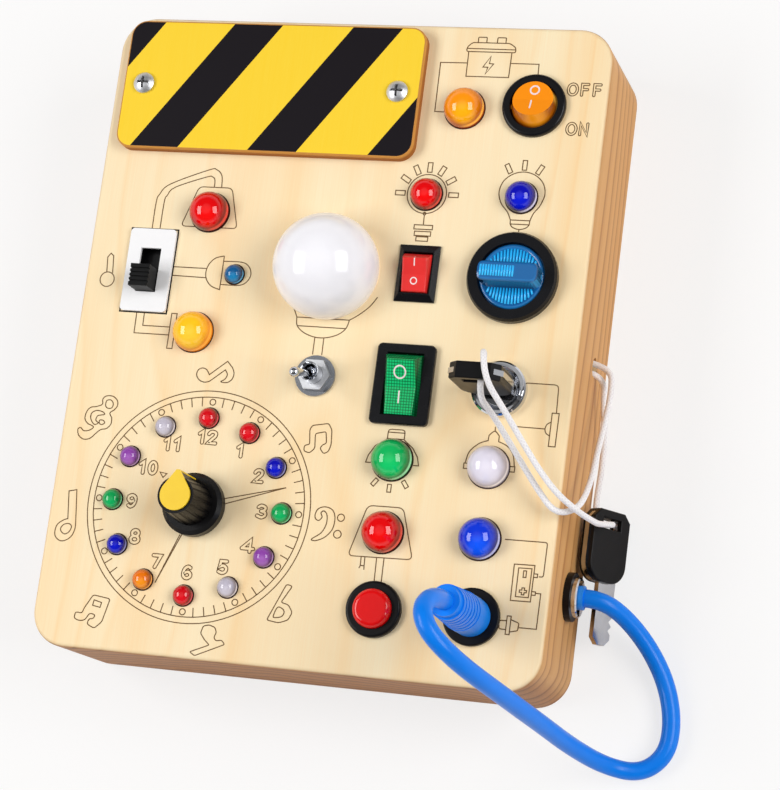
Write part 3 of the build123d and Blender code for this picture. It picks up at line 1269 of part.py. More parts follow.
with BuildPart() as selector_cap:
    tip_y = POINTER_R + CAP_STRIP_T
    with BuildSketch(Plane.XY.offset(KNOB_TOP_Z)):
        Circle(CAP_D / 2)
        with BuildLine():
            tangent = math.acos(CAP_D / 2 / (tip_y + POINTER_TIP_W))
            side_x = CAP_D / 2 * math.sin(tangent)
            side_y = CAP_D / 2 * math.cos(tangent)
            Polyline(
                (-side_x, side_y), (-POINTER_TIP_W / 2, tip_y),
                (POINTER_TIP_W / 2, tip_y), (side_x, side_y), close=True,
            )
        make_face()
    extrude(amount=CAP_T)
    with BuildSketch(Plane.XY.offset(KNOB_TOP_Z)):
        with Locations((0, POINTER_R + CAP_STRIP_T / 2)):
            Rectangle(POINTER_TIP_W, CAP_STRIP_T)
    extrude(amount=SKIRT_TOP - KNOB_TOP)

with BuildPart() as selector_cap_at_place:
    with Locations(CLOCK_AT):
        add(selector_cap.part)

# ------------------------------------------------------------------------------------------------
# Lamps
# ------------------------------------------------------------------------------------------------
with BuildPart() as globe_lamp:
    with BuildSketch(Plane.XZ):
        with Locations((0, FACE_Z + GLOBE_LIFT)):
            Circle(GLOBE_R)
            Circle(GLOBE_R - GLOBE_WALL, mode=Mode.SUBTRACT)
        with Locations((0, FACE_Z)):
            Rectangle(
                2 * GLOBE_R, 4 * GLOBE_R, align=(Align.MIN, Align.MIN), mode=Mode.INTERSECT
            )
    revolve(axis=Axis.Z)

with BuildPart() as globe_lamp_at_place:
    with Locations(GLOBE_AT):
        add(globe_lamp.part)

with BuildPart() as globe_holder:
    inner_r = GLOBE_R - GLOBE_WALL
    base_r = math.sqrt(inner_r**2 - GLOBE_LIFT**2) - GLOBE_BASE_GAP
    with BuildSketch(Plane.XY.offset(FACE_Z)):
        with Locations(GLOBE_AT):
            Circle(base_r)
    extrude(amount=GLOBE_BASE_T)
    with BuildSketch(Plane.XY.offset(FACE_Z)):
        with Locations(GLOBE_AT):
            Circle(GLOBE_BARREL_D / 2)
    extrude(amount=-GLOBE_BARREL_L)
    with BuildSketch(Plane.XY.offset(FACE_Z + GLOBE_BASE_T)):
        with Locations(GLOBE_AT):
            Circle(GLOBE_BULB_D / 2)
    extrude(amount=GLOBE_BULB_H)
    fillet(globe_holder.edges().group_by(Axis.Z)[-1], GLOBE_BULB_D * 0.4)

lamps_red = single_lamps(
    [(place, BIG_LAMP_D, BIG_LAMP_H) for place in RED_LAMPS] + [(RED_MID_LAMP, MID_LAMP_D, MID_LAMP_H)]
)
lamps_blue = single_lamps(
    [
        (BLUE_LAMP, BIG_LAMP_D, BIG_LAMP_H),
        (BLUE_MID_LAMP, MID_LAMP_D, MID_LAMP_H),
        (BLUE_SMALL_LAMP, SMALL_LAMP_D, SMALL_LAMP_H),
    ]
)
lamp_yellow = single_lamps([(YELLOW_LAMP, BIG_LAMP_D, BIG_LAMP_H)])
lamp_amber = single_lamps([(AMBER_LAMP, BIG_LAMP_D, BIG_LAMP_H)])
lamp_green = single_lamps([(GREEN_LAMP, BIG_LAMP_D, BIG_LAMP_H)])
lamp_white = single_lamps([(WHITE_LAMP, BIG_LAMP_D, BIG_LAMP_H)])
clock_lamps_red = clock_lamps([12, 1, 6])
clock_lamps_blue = clock_lamps([2, 8])
clock_lamps_green = clock_lamps([3, 9])
clock_lamps_purple = clock_lamps([4, 10])
clock_lamps_white = clock_lamps([5, 11])
clock_lamp_orange = clock_lamps([7])

# ------------------------------------------------------------------------------------------------
# Front socket with its plug, side gland with its nut and collar
# ------------------------------------------------------------------------------------------------
with BuildPart() as front_socket:
    with BuildSketch(Plane.XY.offset(FACE_Z)):
        with Locations(SOCKET_AT):
            Circle(SOCKET_FLANGE_D / 2)
    extrude(amount=SOCKET_FLANGE_T)
    fillet(front_socket.edges().group_by(Axis.Z)[-1], SOCKET_FLANGE_R)
    with BuildSketch(Plane.XY.offset(FACE_Z)):
        with Locations(SOCKET_AT):
            Circle(SOCKET_BARREL_D / 2)
    extrude(amount=-SOCKET_BARREL_L)
    with BuildSketch(Plane.XY.offset(FACE_Z + SOCKET_FLANGE_T)):
        with Locations(SOCKET_AT):
            Circle(PIN_D / 2 + PIN_FIT)
    extrude(amount=SOCKET_FLOOR - SOCKET_BARREL_L - SOCKET_FLANGE_T, mode=Mode.SUBTRACT)

with BuildPart() as cable_plug:
    rib_z = PLUG_SEAT_Z + PLUG_BASE_L
    rib_pitch = PLUG_RIB_T + PLUG_RIB_GAP
    outline_points = [
        (0, PLUG_SEAT_Z - PIN_L), (PIN_D / 2, PLUG_SEAT_Z - PIN_L), (PIN_D / 2, PLUG_SEAT_Z),
        (PLUG_BASE_D / 2, PLUG_SEAT_Z), (PLUG_BASE_D / 2, rib_z), (PLUG_CORE_D / 2, rib_z),
    ]
    for rib in range(PLUG_RIBS):
        low_z = rib_z + rib * rib_pitch + PLUG_RIB_GAP
        share = rib / max(PLUG_RIBS - 1, 1)
        rib_r = (PLUG_RIB_LOW_D + (PLUG_RIB_TOP_D - PLUG_RIB_LOW_D) * share) / 2
        outline_points += [
            (PLUG_CORE_D / 2, low_z), (rib_r, low_z), (rib_r, low_z + PLUG_RIB_T),
            (PLUG_CORE_D / 2, low_z + PLUG_RIB_T),
        ]
    outline_points += [(PLUG_BOOT_D / 2, FACE_Z + PLUG_TOP), (0, FACE_Z + PLUG_TOP)]
    with BuildSketch(Plane.XZ):
        with BuildLine():
            Polyline(*outline_points, close=True)
        make_face()
    revolve(axis=Axis.Z)

with BuildPart() as cable_plug_at_place:
    with Locations(SOCKET_AT):
        add(cable_plug.part)

GLAND_PLANE = Plane(origin=(SIDE_X, GLAND_Y, SIDE_HOLE_Z), x_dir=(0, 1, 0), z_dir=(1, 0, 0))
with BuildPart() as side_gland:
    with BuildSketch(GLAND_PLANE):
        Circle(GLAND_FLANGE_D / 2)
    extrude(amount=GLAND_FLANGE_T)
    with BuildSketch(GLAND_PLANE):
        Circle(GLAND_BARREL_D / 2)
    extrude(amount=-SIDE_WALL - GLAND_BARREL_OUT)
    with BuildSketch(GLAND_PLANE.offset(GLAND_FLANGE_T)):
        Circle(COLLAR_D / 2 + COLLAR_FIT)
    extrude(amount=-SIDE_WALL - GLAND_BARREL_OUT - GLAND_FLANGE_T, mode=Mode.SUBTRACT)

with BuildPart() as gland_nut:
    with BuildSketch(GLAND_PLANE.offset(GLAND_FLANGE_T)):
        Circle(GLAND_NUT_D / 2)
    extrude(amount=GLAND_NUT_T)
    chamfer(gland_nut.edges().group_by(Axis.X)[-1], GLAND_NUT_EDGE)
    with BuildSketch(GLAND_PLANE.offset(GLAND_FLANGE_T)):
        Circle(COLLAR_D / 2 + COLLAR_FIT)
    extrude(amount=GLAND_NUT_T, mode=Mode.SUBTRACT)

with BuildPart() as cable_collar:
    with BuildSketch(GLAND_PLANE.offset(COLLAR_OUT)):
        Circle(COLLAR_D / 2)
    extrude(amount=-COLLAR_OUT - COLLAR_IN)

# ------------------------------------------------------------------------------------------------
# Solder terminals under the switches
# ------------------------------------------------------------------------------------------------
TERMINAL_ROWS = [
    (SLIDE_AT, FACE_Z - SLIDE_BODY_T, 8.0, CHANGEOVER_COUNT),
    (ROUND_AT, FACE_Z - ROUND_BODY_T, 5.5, CHANGEOVER_COUNT),
    (RED_AT, FACE_Z - RED_BODY_T, 7.0, PLAIN_COUNT),
    (GREEN_AT, FACE_Z - GREEN_BODY_T, 7.5, CHANGEOVER_COUNT),
    (ROTARY_AT, FACE_Z - ROTARY_BARREL_L, 8.0, CHANGEOVER_COUNT),
    (TOGGLE_AT, FACE_Z - TOGGLE_SKIN - TOGGLE_BODY_T, 4.7, CHANGEOVER_COUNT),
    (LOCK_AT, FACE_Z - LOCK_BARREL_L, 8.0, PLAIN_COUNT),
    (PUSH_AT, FACE_Z - PUSH_BARREL_L, 7.0, PLAIN_COUNT),
    (SOCKET_AT, FACE_Z - SOCKET_BARREL_L, 7.0, PLAIN_COUNT),
    (CLOCK_AT, CLOCK_BOARD_Z - SELECTOR_BODY_T, 7.0, CHANGEOVER_COUNT),
    (GLOBE_AT, FACE_Z - GLOBE_BARREL_L, 9.0, PLAIN_COUNT),
]
with BuildPart() as switch_terminals:
    for place, seat_z, pitch, count in TERMINAL_ROWS:
        with BuildSketch(Plane.XY.offset(seat_z)):
            with Locations(place):
                with GridLocations(0, pitch, 1, count):
                    Rectangle(BLADE_TERMINAL_W, BLADE_TERMINAL_T)
        extrude(amount=-BLADE_TERMINAL_L)

# ------------------------------------------------------------------------------------------------
# Soft cords
# ------------------------------------------------------------------------------------------------
patch_cable = cord_tube("patch_cable", CABLE_ROUTE, CABLE_D)
key_cord = cord_tube("key_cord", KEY_CORD_ROUTE, CORD_D)

# ------------------------------------------------------------------------------------------------
# Labels and files
# ------------------------------------------------------------------------------------------------
wood_body.part.label = "wood_body"
export_step(wood_body.part, "parts/wood_body.step")
back_cover.part.label = "back_cover"
export_step(back_cover.part, "parts/back_cover.step")
back_cover_screws.part.label = "back_cover_screws"
export_step(back_cover_screws.part, "parts/back_cover_screws.step")
battery_cover_plate.part.label = "battery_cover_plate"
export_step(battery_cover_plate.part, "parts/battery_cover_plate.step")
plate_screws.part.label = "plate_screws"
export_step(plate_screws.part, "parts/plate_screws.step")
battery_holder.part.label = "battery_holder"
export_step(battery_holder.part, "parts/battery_holder.step")
batteries.part.label = "batteries"
export_step(batteries.part, "parts/batteries.step")
slide_switch_plate.part.label = "slide_switch_plate"
export_step(slide_switch_plate.part, "parts/slide_switch_plate.step")
slide_switch_body.part.label = "slide_switch_body"
export_step(slide_switch_body.part, "parts/slide_switch_body.step")
slide_switch_knob.part.label = "slide_switch_knob"
export_step(slide_switch_knob.part, "parts/slide_switch_knob.step")
round_rocker_bezel.part.label = "round_rocker_bezel"
export_step(round_rocker_bezel.part, "parts/round_rocker_bezel.step")
round_rocker_button.label = "round_rocker_button"
export_step(round_rocker_button, "parts/round_rocker_button.step")
red_rocker_bezel.part.label = "red_rocker_bezel"
export_step(red_rocker_bezel.part, "parts/red_rocker_bezel.step")
red_rocker_button.label = "red_rocker_button"
export_step(red_rocker_button, "parts/red_rocker_button.step")
green_rocker_bezel.part.label = "green_rocker_bezel"
export_step(green_rocker_bezel.part, "parts/green_rocker_bezel.step")
green_rocker_button.label = "green_rocker_button"
export_step(green_rocker_button, "parts/green_rocker_button.step")
rotary_switch_bezel.part.label = "rotary_switch_bezel"
export_step(rotary_switch_bezel.part, "parts/rotary_switch_bezel.step")
rotary_switch_knob.part.label = "rotary_switch_knob"
export_step(rotary_switch_knob.part, "parts/rotary_switch_knob.step")
toggle_body.part.label = "toggle_body"
export_step(toggle_body.part, "parts/toggle_body.step")
toggle_washer.part.label = "toggle_washer"
export_step(toggle_washer.part, "parts/toggle_washer.step")
toggle_nut.part.label = "toggle_nut"
export_step(toggle_nut.part, "parts/toggle_nut.step")
toggle_lever.part.label = "toggle_lever"
export_step(toggle_lever.part, "parts/toggle_lever.step")
key_switch_at_place.part.label = "key_switch_body"
export_step(key_switch_at_place.part, "parts/key_switch_body.step")
key_switch_nut.part.label = "key_switch_nut"
export_step(key_switch_nut.part, "parts/key_switch_nut.step")
key_switch_rotor.part.label = "key_switch_rotor"
export_step(key_switch_rotor.part, "parts/key_switch_rotor.step")
front_key_blade.label = "front_key_blade"
export_step(front_key_blade, "parts/front_key_blade.step")
front_key_head.label = "front_key_head"
export_step(front_key_head, "parts/front_key_head.step")
spare_key_blade.label = "spare_key_blade"
export_step(spare_key_blade, "parts/spare_key_blade.step")
spare_key_head.label = "spare_key_head"
export_step(spare_key_head, "parts/spare_key_head.step")
push_button_body.part.label = "push_button_body"
export_step(push_button_body.part, "parts/push_button_body.step")
push_button_cap.part.label = "push_button_cap"
export_step(push_button_cap.part, "parts/push_button_cap.step")
push_button_spring.part.label = "push_button_spring"
export_step(push_button_spring.part, "parts/push_button_spring.step")
clock_board.part.label = "clock_board"
export_step(clock_board.part, "parts/clock_board.step")
selector_body.part.label = "selector_body"
export_step(selector_body.part, "parts/selector_body.step")
selector_nut.part.label = "selector_nut"
export_step(selector_nut.part, "parts/selector_nut.step")
selector_shaft.part.label = "selector_shaft"
export_step(selector_shaft.part, "parts/selector_shaft.step")
selector_knob_at_place.part.label = "selector_knob"
export_step(selector_knob_at_place.part, "parts/selector_knob.step")
selector_cap_at_place.part.label = "selector_cap"
export_step(selector_cap_at_place.part, "parts/selector_cap.step")
globe_lamp_at_place.part.label = "globe_lamp"
export_step(globe_lamp_at_place.part, "parts/globe_lamp.step")
globe_holder.part.label = "globe_holder"
export_step(globe_holder.part, "parts/globe_holder.step")
lamps_red.label = "lamps_red"
export_step(lamps_red, "parts/lamps_red.step")
lamps_blue.label = "lamps_blue"
export_step(lamps_blue, "parts/lamps_blue.step")
lamp_yellow.label = "lamp_yellow"
export_step(lamp_yellow, "parts/lamp_yellow.step")
lamp_amber.label = "lamp_amber"
export_step(lamp_amber, "parts/lamp_amber.step")
lamp_green.label = "lamp_green"
export_step(lamp_green, "parts/lamp_green.step")
lamp_white.label = "lamp_white"
export_step(lamp_white, "parts/lamp_white.step")
clock_lamps_red.label = "clock_lamps_red"
export_step(clock_lamps_red, "parts/clock_lamps_red.step")
clock_lamps_blue.label = "clock_lamps_blue"
export_step(clock_lamps_blue, "parts/clock_lamps_blue.step")
clock_lamps_green.label = "clock_lamps_green"
export_step(clock_lamps_green, "parts/clock_lamps_green.step")
clock_lamps_purple.label = "clock_lamps_purple"
export_step(clock_lamps_purple, "parts/clock_lamps_purple.step")
clock_lamps_white.label = "clock_lamps_white"
export_step(clock_lamps_white, "parts/clock_lamps_white.step")
clock_lamp_orange.label = "clock_lamp_orange"
export_step(clock_lamp_orange, "parts/clock_lamp_orange.step")
front_socket.part.label = "front_socket"
export_step(front_socket.part, "parts/front_socket.step")
cable_plug_at_place.part.label = "cable_plug"
export_step(cable_plug_at_place.part, "parts/cable_plug.step")
side_gland.part.label = "side_gland"
export_step(side_gland.part, "parts/side_gland.step")
gland_nut.part.label = "gland_nut"
export_step(gland_nut.part, "parts/gland_nut.step")
cable_collar.part.label = "cable_collar"
export_step(cable_collar.part, "parts/cable_collar.step")
switch_terminals.part.label = "switch_terminals"
export_step(switch_terminals.part, "parts/switch_terminals.step")
patch_cable.label = "patch_cable"
export_step(patch_cable, "parts/patch_cable.step")
key_cord.label = "key_cord"
export_step(key_cord, "parts/key_cord.step")
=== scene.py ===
"""Dresses the wooden busy board: a birch box with switches, lamps, a lock and two cords.

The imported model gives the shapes. This script adds the finishes, the burnt drawings,
the printed marks, the two cords, the studio and the camera.
"""

import logging
import math
from dataclasses import dataclass, field
from enum import Enum
from functools import cached_property
from typing import Any, Callable, Iterable, Optional, Sequence

import bmesh
import bpy
from mathutils import Matrix, Vector
from mathutils.bvhtree import BVHTree


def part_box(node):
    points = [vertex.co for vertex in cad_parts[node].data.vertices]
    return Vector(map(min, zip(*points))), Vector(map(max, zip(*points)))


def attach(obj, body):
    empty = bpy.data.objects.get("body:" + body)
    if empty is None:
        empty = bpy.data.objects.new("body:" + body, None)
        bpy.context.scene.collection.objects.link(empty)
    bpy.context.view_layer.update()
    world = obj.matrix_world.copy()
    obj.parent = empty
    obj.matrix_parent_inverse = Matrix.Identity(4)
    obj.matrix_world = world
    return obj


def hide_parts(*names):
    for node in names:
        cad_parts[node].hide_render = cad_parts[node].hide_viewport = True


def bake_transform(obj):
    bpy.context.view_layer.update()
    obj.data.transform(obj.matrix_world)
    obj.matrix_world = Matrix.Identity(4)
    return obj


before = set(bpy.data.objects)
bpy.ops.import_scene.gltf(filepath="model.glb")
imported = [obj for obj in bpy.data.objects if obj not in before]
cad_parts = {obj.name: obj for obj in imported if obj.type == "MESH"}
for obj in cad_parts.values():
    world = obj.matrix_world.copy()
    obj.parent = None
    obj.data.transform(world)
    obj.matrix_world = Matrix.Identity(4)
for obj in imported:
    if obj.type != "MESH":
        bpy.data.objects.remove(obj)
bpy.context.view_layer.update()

LOG = logging.getLogger("busy_board")

MM = 0.001
FACE_MM = 50.0
CLOCK_CENTRE = (-37.6, -64.9)

Point2 = tuple[float, float]
Point3 = tuple[float, float, float]
Line = tuple[Sequence[Point2], bool]
Socket = bpy.types.NodeSocket
Inputs = dict[Any, Any]


# ---------------------------------------------------------------------------------------
# Colour and node helpers
# ---------------------------------------------------------------------------------------
def linear(hex_colour: str) -> tuple[float, float, float, float]:
    """Turns an sRGB hex colour of six digits into linear RGBA with an alpha of 1."""
    channels = [int(hex_colour[i : i + 2], 16) / 255.0 for i in (0, 2, 4)]
    bent = [c / 12.92 if c <= 0.04045 else ((c + 0.055) / 1.055) ** 2.4 for c in channels]
    return (bent[0], bent[1], bent[2], 1.0)


def per_mm(size_mm: float) -> float:
    """Returns the texture scale at which one cell is size_mm across in metre coordinates."""
    return 1.0 / (size_mm * MM)


@dataclass
class Nodes:
    """The nodes of one material, or of the world.

    Attributes:
        tree: The tree that takes them.
    """

    tree: bpy.types.NodeTree

    def __post_init__(self) -> None:
        """Empties the tree."""
        self.tree.nodes.clear()

    def add(self, kind: str, inputs: Optional[Inputs] = None, **settings: Any) -> Socket:
        """Adds one node with its settings, its fixed inputs and its links.

        Args:
            kind: The node's type, without the ShaderNode before it.
            inputs: A value or an output socket for each input, by name or number.
            **settings: The node's own properties.

        Returns:
            The first output that the settings leave in use. Its node gives the others.
        """
        node = self.tree.nodes.new(f"ShaderNode{kind}")
        for name, value in settings.items():
            setattr(node, name, value)
        self.feed(node, inputs or {})
        return next((output for output in node.outputs if output.enabled), None)

    def feed(self, node: bpy.types.Node, inputs: Inputs) -> None:
        """Sets or links a node's inputs, each by its name or number."""
        for name, value in inputs.items():
            if isinstance(value, Socket):
                self.tree.links.new(value, node.inputs[name])
            else:
                node.inputs[name].default_value = value

    @cached_property
    def coords(self) -> Any:
        """The outputs of the tree's coordinate node, by name."""
        return self.add("TexCoord").node.outputs

    def axes(self, coordinates: str = "Object") -> Any:
        """Returns the x, y and z of a kind of coordinates, which are in metres."""
        return self.add("SeparateXYZ", {0: self.coords[coordinates]}).node.outputs

    def noise(self, cell_mm: Point3, detail: float = 3.0, rough: float = 0.55) -> Socket:
        """Adds noise whose cells have a real size along each axis.

        Args:
            cell_mm: The cell's size along x, y and z, in millimetres.
            detail: The noise's octaves.
            rough: How much each octave adds.

        Returns:
            The noise's value.
        """
        scale = tuple(per_mm(size) for size in cell_mm)
        place = self.add("Mapping", {"Vector": self.coords["Object"], "Scale": scale})
        return self.add(
            "TexNoise", {"Vector": place, "Scale": 1.0, "Detail": detail, "Roughness": rough}
        )

    def bump(self, height: Socket, depth_mm: float, strength: float = 0.6) -> Socket:
        """Adds a bump of a real depth.

        Args:
            height: The height, from 0 to 1.
            depth_mm: The depth that a height of 1 stands for.
            strength: The share of the bump that shows.

        Returns:
            The bent normal.
        """
        return self.add(
            "Bump", {"Height": height, "Distance": depth_mm * MM, "Strength": strength}
        )


# ---------------------------------------------------------------------------------------
# Finishes
# ---------------------------------------------------------------------------------------
@dataclass(frozen=True)
class Finish:
    """A finish with a name. Its subclasses say what it is made of and how.

    Attributes:
        name: The material's name: what it is and how its surface was made.
    """

    name: str

    def paint(self, nodes: Nodes) -> Inputs:
        """Builds the material's nodes and returns the inputs of its shader."""
        raise NotImplementedError

    def material(self) -> bpy.types.Material:
        """Returns the material, built once and shared after that."""
        if self.name not in bpy.data.materials:
            made = bpy.data.materials.new(self.name)
            made.use_nodes = True
            nodes = Nodes(made.node_tree)
            shader = nodes.add("BsdfPrincipled")
            nodes.add("OutputMaterial", {"Surface": shader})
            nodes.feed(shader.node, self.paint(nodes))
        return bpy.data.materials[self.name]


@dataclass(frozen=True)
class LacqueredBirch(Finish):
    """Solid birch, planed, sanded and given a thin satin lacquer.

    The face is pale with soft bands and fine fibres along the board. The edges are
    darker, partly in their own close grain and partly as painted shade, and show close growth
    lines.

    Attributes:
        face: The early and the late wood of the face.
        edge: The early and the late wood of the long edges, darkened partly by painted shade.
        end: The early and the late wood of the end grain, darkened partly by painted shade.
        ring_mm: The width of one year's growth.
        growth: How dark the wood gets through the year, as places and greys.
        heart: The heart of the log, x and z, in millimetres.
        wander_mm: How far a ring wanders.
        fibre_mm: The width of a fibre, drawn twice as coarse as it is so that it shows.
        shares: How much the rings, the broad bands and the fibres warm the face.
    """

    face: tuple[str, str] = ("FFEFCA", "FCD59B")
    edge: tuple[str, str] = ("E2AE6E", "B2743A")
    end: tuple[str, str] = ("C4864A", "885222")
    ring_mm: float = 7.5
    growth: tuple[tuple[float, str], ...] = (
        (0.0, "181818"), (0.35, "303030"), (0.72, "8A8A8A"), (0.88, "E8E8E8"), (1.0, "181818"),
    )
    heart: Point2 = (12.0, -120.0)
    wander_mm: float = 34.0
    fibre_mm: float = 0.5
    shares: Point3 = (0.22, 0.95, 0.30)

    def rings(self, nodes: Nodes) -> Socket:
        """Adds the growth rings, each climbing from 0 to 1, and returns how dark they are."""
        wander = nodes.noise((55.0, 240.0, 55.0), 2.0, 0.4)
        place = nodes.axes()
        squares = []
        for axis, middle in zip((0, 2), self.heart):
            off = nodes.add("Math", {0: place[axis], 1: -middle * MM}, operation="ADD")
            squares.append(nodes.add("Math", {0: off, 1: 2.0}, operation="POWER"))
        radius = nodes.add("Math", dict(enumerate(squares)), operation="ADD")
        radius = nodes.add("Math", {0: radius}, operation="SQRT")
        reach = self.wander_mm * MM
        bent = nodes.add("Math", {0: wander, 1: reach, 2: radius}, operation="MULTIPLY_ADD")
        years = nodes.add("Math", {0: bent, 1: per_mm(self.ring_mm)}, operation="MULTIPLY")
        year = nodes.add("Math", {0: years}, operation="FRACT")
        dark = nodes.add("ValToRGB", {"Fac": year})
        stops = dark.node.color_ramp.elements
        stops.remove(stops[-1])
        stops[0].color = linear(self.growth[0][1])
        for at, grey in self.growth[1:]:
            stops.new(at).color = linear(grey)
        return dark

    def paint(self, nodes: Nodes) -> Inputs:
        """Builds rings, fibres and the tanned edge."""
        rings = self.rings(nodes)
        broad = nodes.noise((26.0, 420.0, 26.0), 2.0, 0.5)
        fibre = nodes.noise((self.fibre_mm, 34.0, self.fibre_mm), 3.0, 0.6)
        warmth: Any = 0.0
        for value, share in zip((rings, broad, fibre), self.shares):
            warmth = nodes.add("Math", {0: value, 1: share, 2: warmth}, operation="MULTIPLY_ADD")
        late = nodes.add("MapRange", {"Value": warmth, "From Min": 0.42, "From Max": 1.05})
        close = nodes.add(
            "Math", {0: fibre, 1: 0.35, 2: rings}, operation="MULTIPLY_ADD", use_clamp=True
        )
        face, shown, end = (
            nodes.add(
                "Mix", {"Factor": share, "A": linear(light), "B": linear(dark)}, data_type="RGBA"
            )
            for share, (light, dark) in ((late, self.face), (close, self.edge), (close, self.end))
        )
        # The edges and ends take darker colours by the way each face points: partly their own
        # grain, partly painted shade.
        ways = nodes.axes("Normal")
        for axis, low, high, other in ((1, 0.3, 0.85, end), (2, 0.25, 0.95, face)):
            facing = nodes.add("Math", {0: ways[axis]}, operation="ABSOLUTE")
            limits = {"Value": facing, "From Min": low, "From Max": high}
            share = nodes.add("MapRange", limits, interpolation_type="SMOOTHSTEP")
            shown = nodes.add("Mix", {"Factor": share, "A": shown, "B": other}, data_type="RGBA")
        return {
            "Base Color": shown,
            "Roughness": nodes.add("MapRange", {"Value": fibre, "To Min": 0.42, "To Max": 0.6}),
            "Specular IOR Level": 0.3,
            "Coat Weight": 0.06,
            "Coat Roughness": 0.3,
            "Normal": nodes.bump(fibre, 0.03, 0.5),
        }


class Paint(Enum):
    """The printing inks of the striped cover: the yellow, where it lies thin, and the black."""

    YELLOW = "FED430"
    THIN_YELLOW = "FFDA42"
    BLACK = "1A161B"


@dataclass(frozen=True)
class PrintedPlywood(Finish):
    """Three-ply sheet, its top printed with slanted stripes and its edge laser cut.

    The ink is even with a faint grain under it. The cut edge is scorched golden brown,
    darker in the middle ply.

    Attributes:
        top_z: The height of the printed face, in millimetres.
        base_y: The height on the board of the plate's lower edge.
        lean: How far a stripe moves in x for each millimetre in y.
        pitch: The distance from one black stripe to the next, along x.
        stripe: The width of a black stripe along x.
        first: The x of a black stripe's left edge on the plate's lower edge.
        ply: The thickness of a ply.
        scorch: The cut edge's colours, outer plies first.
    """

    top_z: float = 54.5
    base_y: float = 67.3
    lean: float = 0.71
    pitch: float = 46.5
    stripe: float = 19.0
    first: float = -83.9
    ply: float = 1.5
    scorch: tuple[str, str] = ("D99A4C", "A9682C")

    def paint(self, nodes: Nodes) -> Inputs:
        """Builds the stripes on the top and the plies on the edge."""
        x, y, z = nodes.axes()
        start = (self.first - self.lean * self.base_y) * MM
        along = nodes.add("Math", {0: y, 1: -self.lean, 2: x}, operation="MULTIPLY_ADD")
        along = nodes.add("Math", {0: along, 1: start}, operation="SUBTRACT")
        turns = nodes.add("Math", {0: along, 1: per_mm(self.pitch)}, operation="MULTIPLY")
        share = nodes.add("Math", {0: turns}, operation="FRACT")
        black = nodes.add("Math", {0: share, 1: self.stripe / self.pitch}, operation="LESS_THAN")
        grain = nodes.noise((0.6, 22.0, 0.6), 2.0)
        plies = nodes.add("Math", {0: z, 1: per_mm(self.ply)}, operation="MULTIPLY")
        plies = nodes.add("Math", {0: plies, 1: 2.0}, operation="PINGPONG")
        top = nodes.add("Math", {0: z, 1: (self.top_z - 0.02) * MM}, operation="GREATER_THAN")
        yellow, thin, dark = (linear(ink.value) for ink in Paint)
        ink = nodes.add("Mix", {"Factor": grain, "A": yellow, "B": thin}, data_type="RGBA")
        ink = nodes.add("Mix", {"Factor": black, "A": ink, "B": dark}, data_type="RGBA")
        outer, middle = map(linear, self.scorch)
        cut = nodes.add("Mix", {"Factor": plies, "A": outer, "B": middle}, data_type="RGBA")
        return {
            "Base Color": nodes.add("Mix", {"Factor": top, "A": cut, "B": ink}, data_type="RGBA"),
            "Roughness": 0.5,
            "Specular IOR Level": 0.1,
            "Normal": nodes.bump(grain, 0.015, 0.3),
        }


@dataclass(frozen=True)
class MouldedPlastic(Finish):
    """ABS, nylon or PVC from a mould, with the fine grain of the tool on its surface.

    Attributes:
        colour: The main colour.
        shade: A near colour that wanders through it.
        rough: The roughness.
        grain_mm: The size of the tool's grain.
        grain_depth_mm: Its depth.
        coat: A glossy skin's weight, from a polished mould.
        specular: How much of the usual reflection its matt filler leaves.
        shine: A painted glow, added as emission in place of the light that a thin wall passes on
            from behind.
    """

    colour: str = "17171A"
    shade: str = "202024"
    rough: float = 0.35
    grain_mm: float = 0.25
    grain_depth_mm: float = 0.01
    coat: float = 0.0
    specular: float = 0.5
    shine: float = 0.0

    def paint(self, nodes: Nodes) -> Inputs:
        """Builds the wandering colour, the roughness and the tool's grain."""
        wander = nodes.noise((4.0, 4.0, 4.0))
        spread = {"Value": wander, "To Min": self.rough * 0.85, "To Max": self.rough * 1.2}
        grain = nodes.noise((self.grain_mm,) * 3, 2.0)
        colours = {"Factor": wander, "A": linear(self.colour), "B": linear(self.shade)}
        return {
            "Base Color": nodes.add("Mix", colours, data_type="RGBA"),
            "Roughness": nodes.add("MapRange", spread),
            "IOR": 1.5,
            "Specular IOR Level": self.specular,
            # Painted glow: emission in the plastic's own colour.
            "Emission Color": linear(self.colour),
            "Emission Strength": self.shine,
            "Coat Weight": self.coat,
            "Coat Roughness": 0.06,
            "Normal": nodes.bump(grain, self.grain_depth_mm, 0.5),
        }


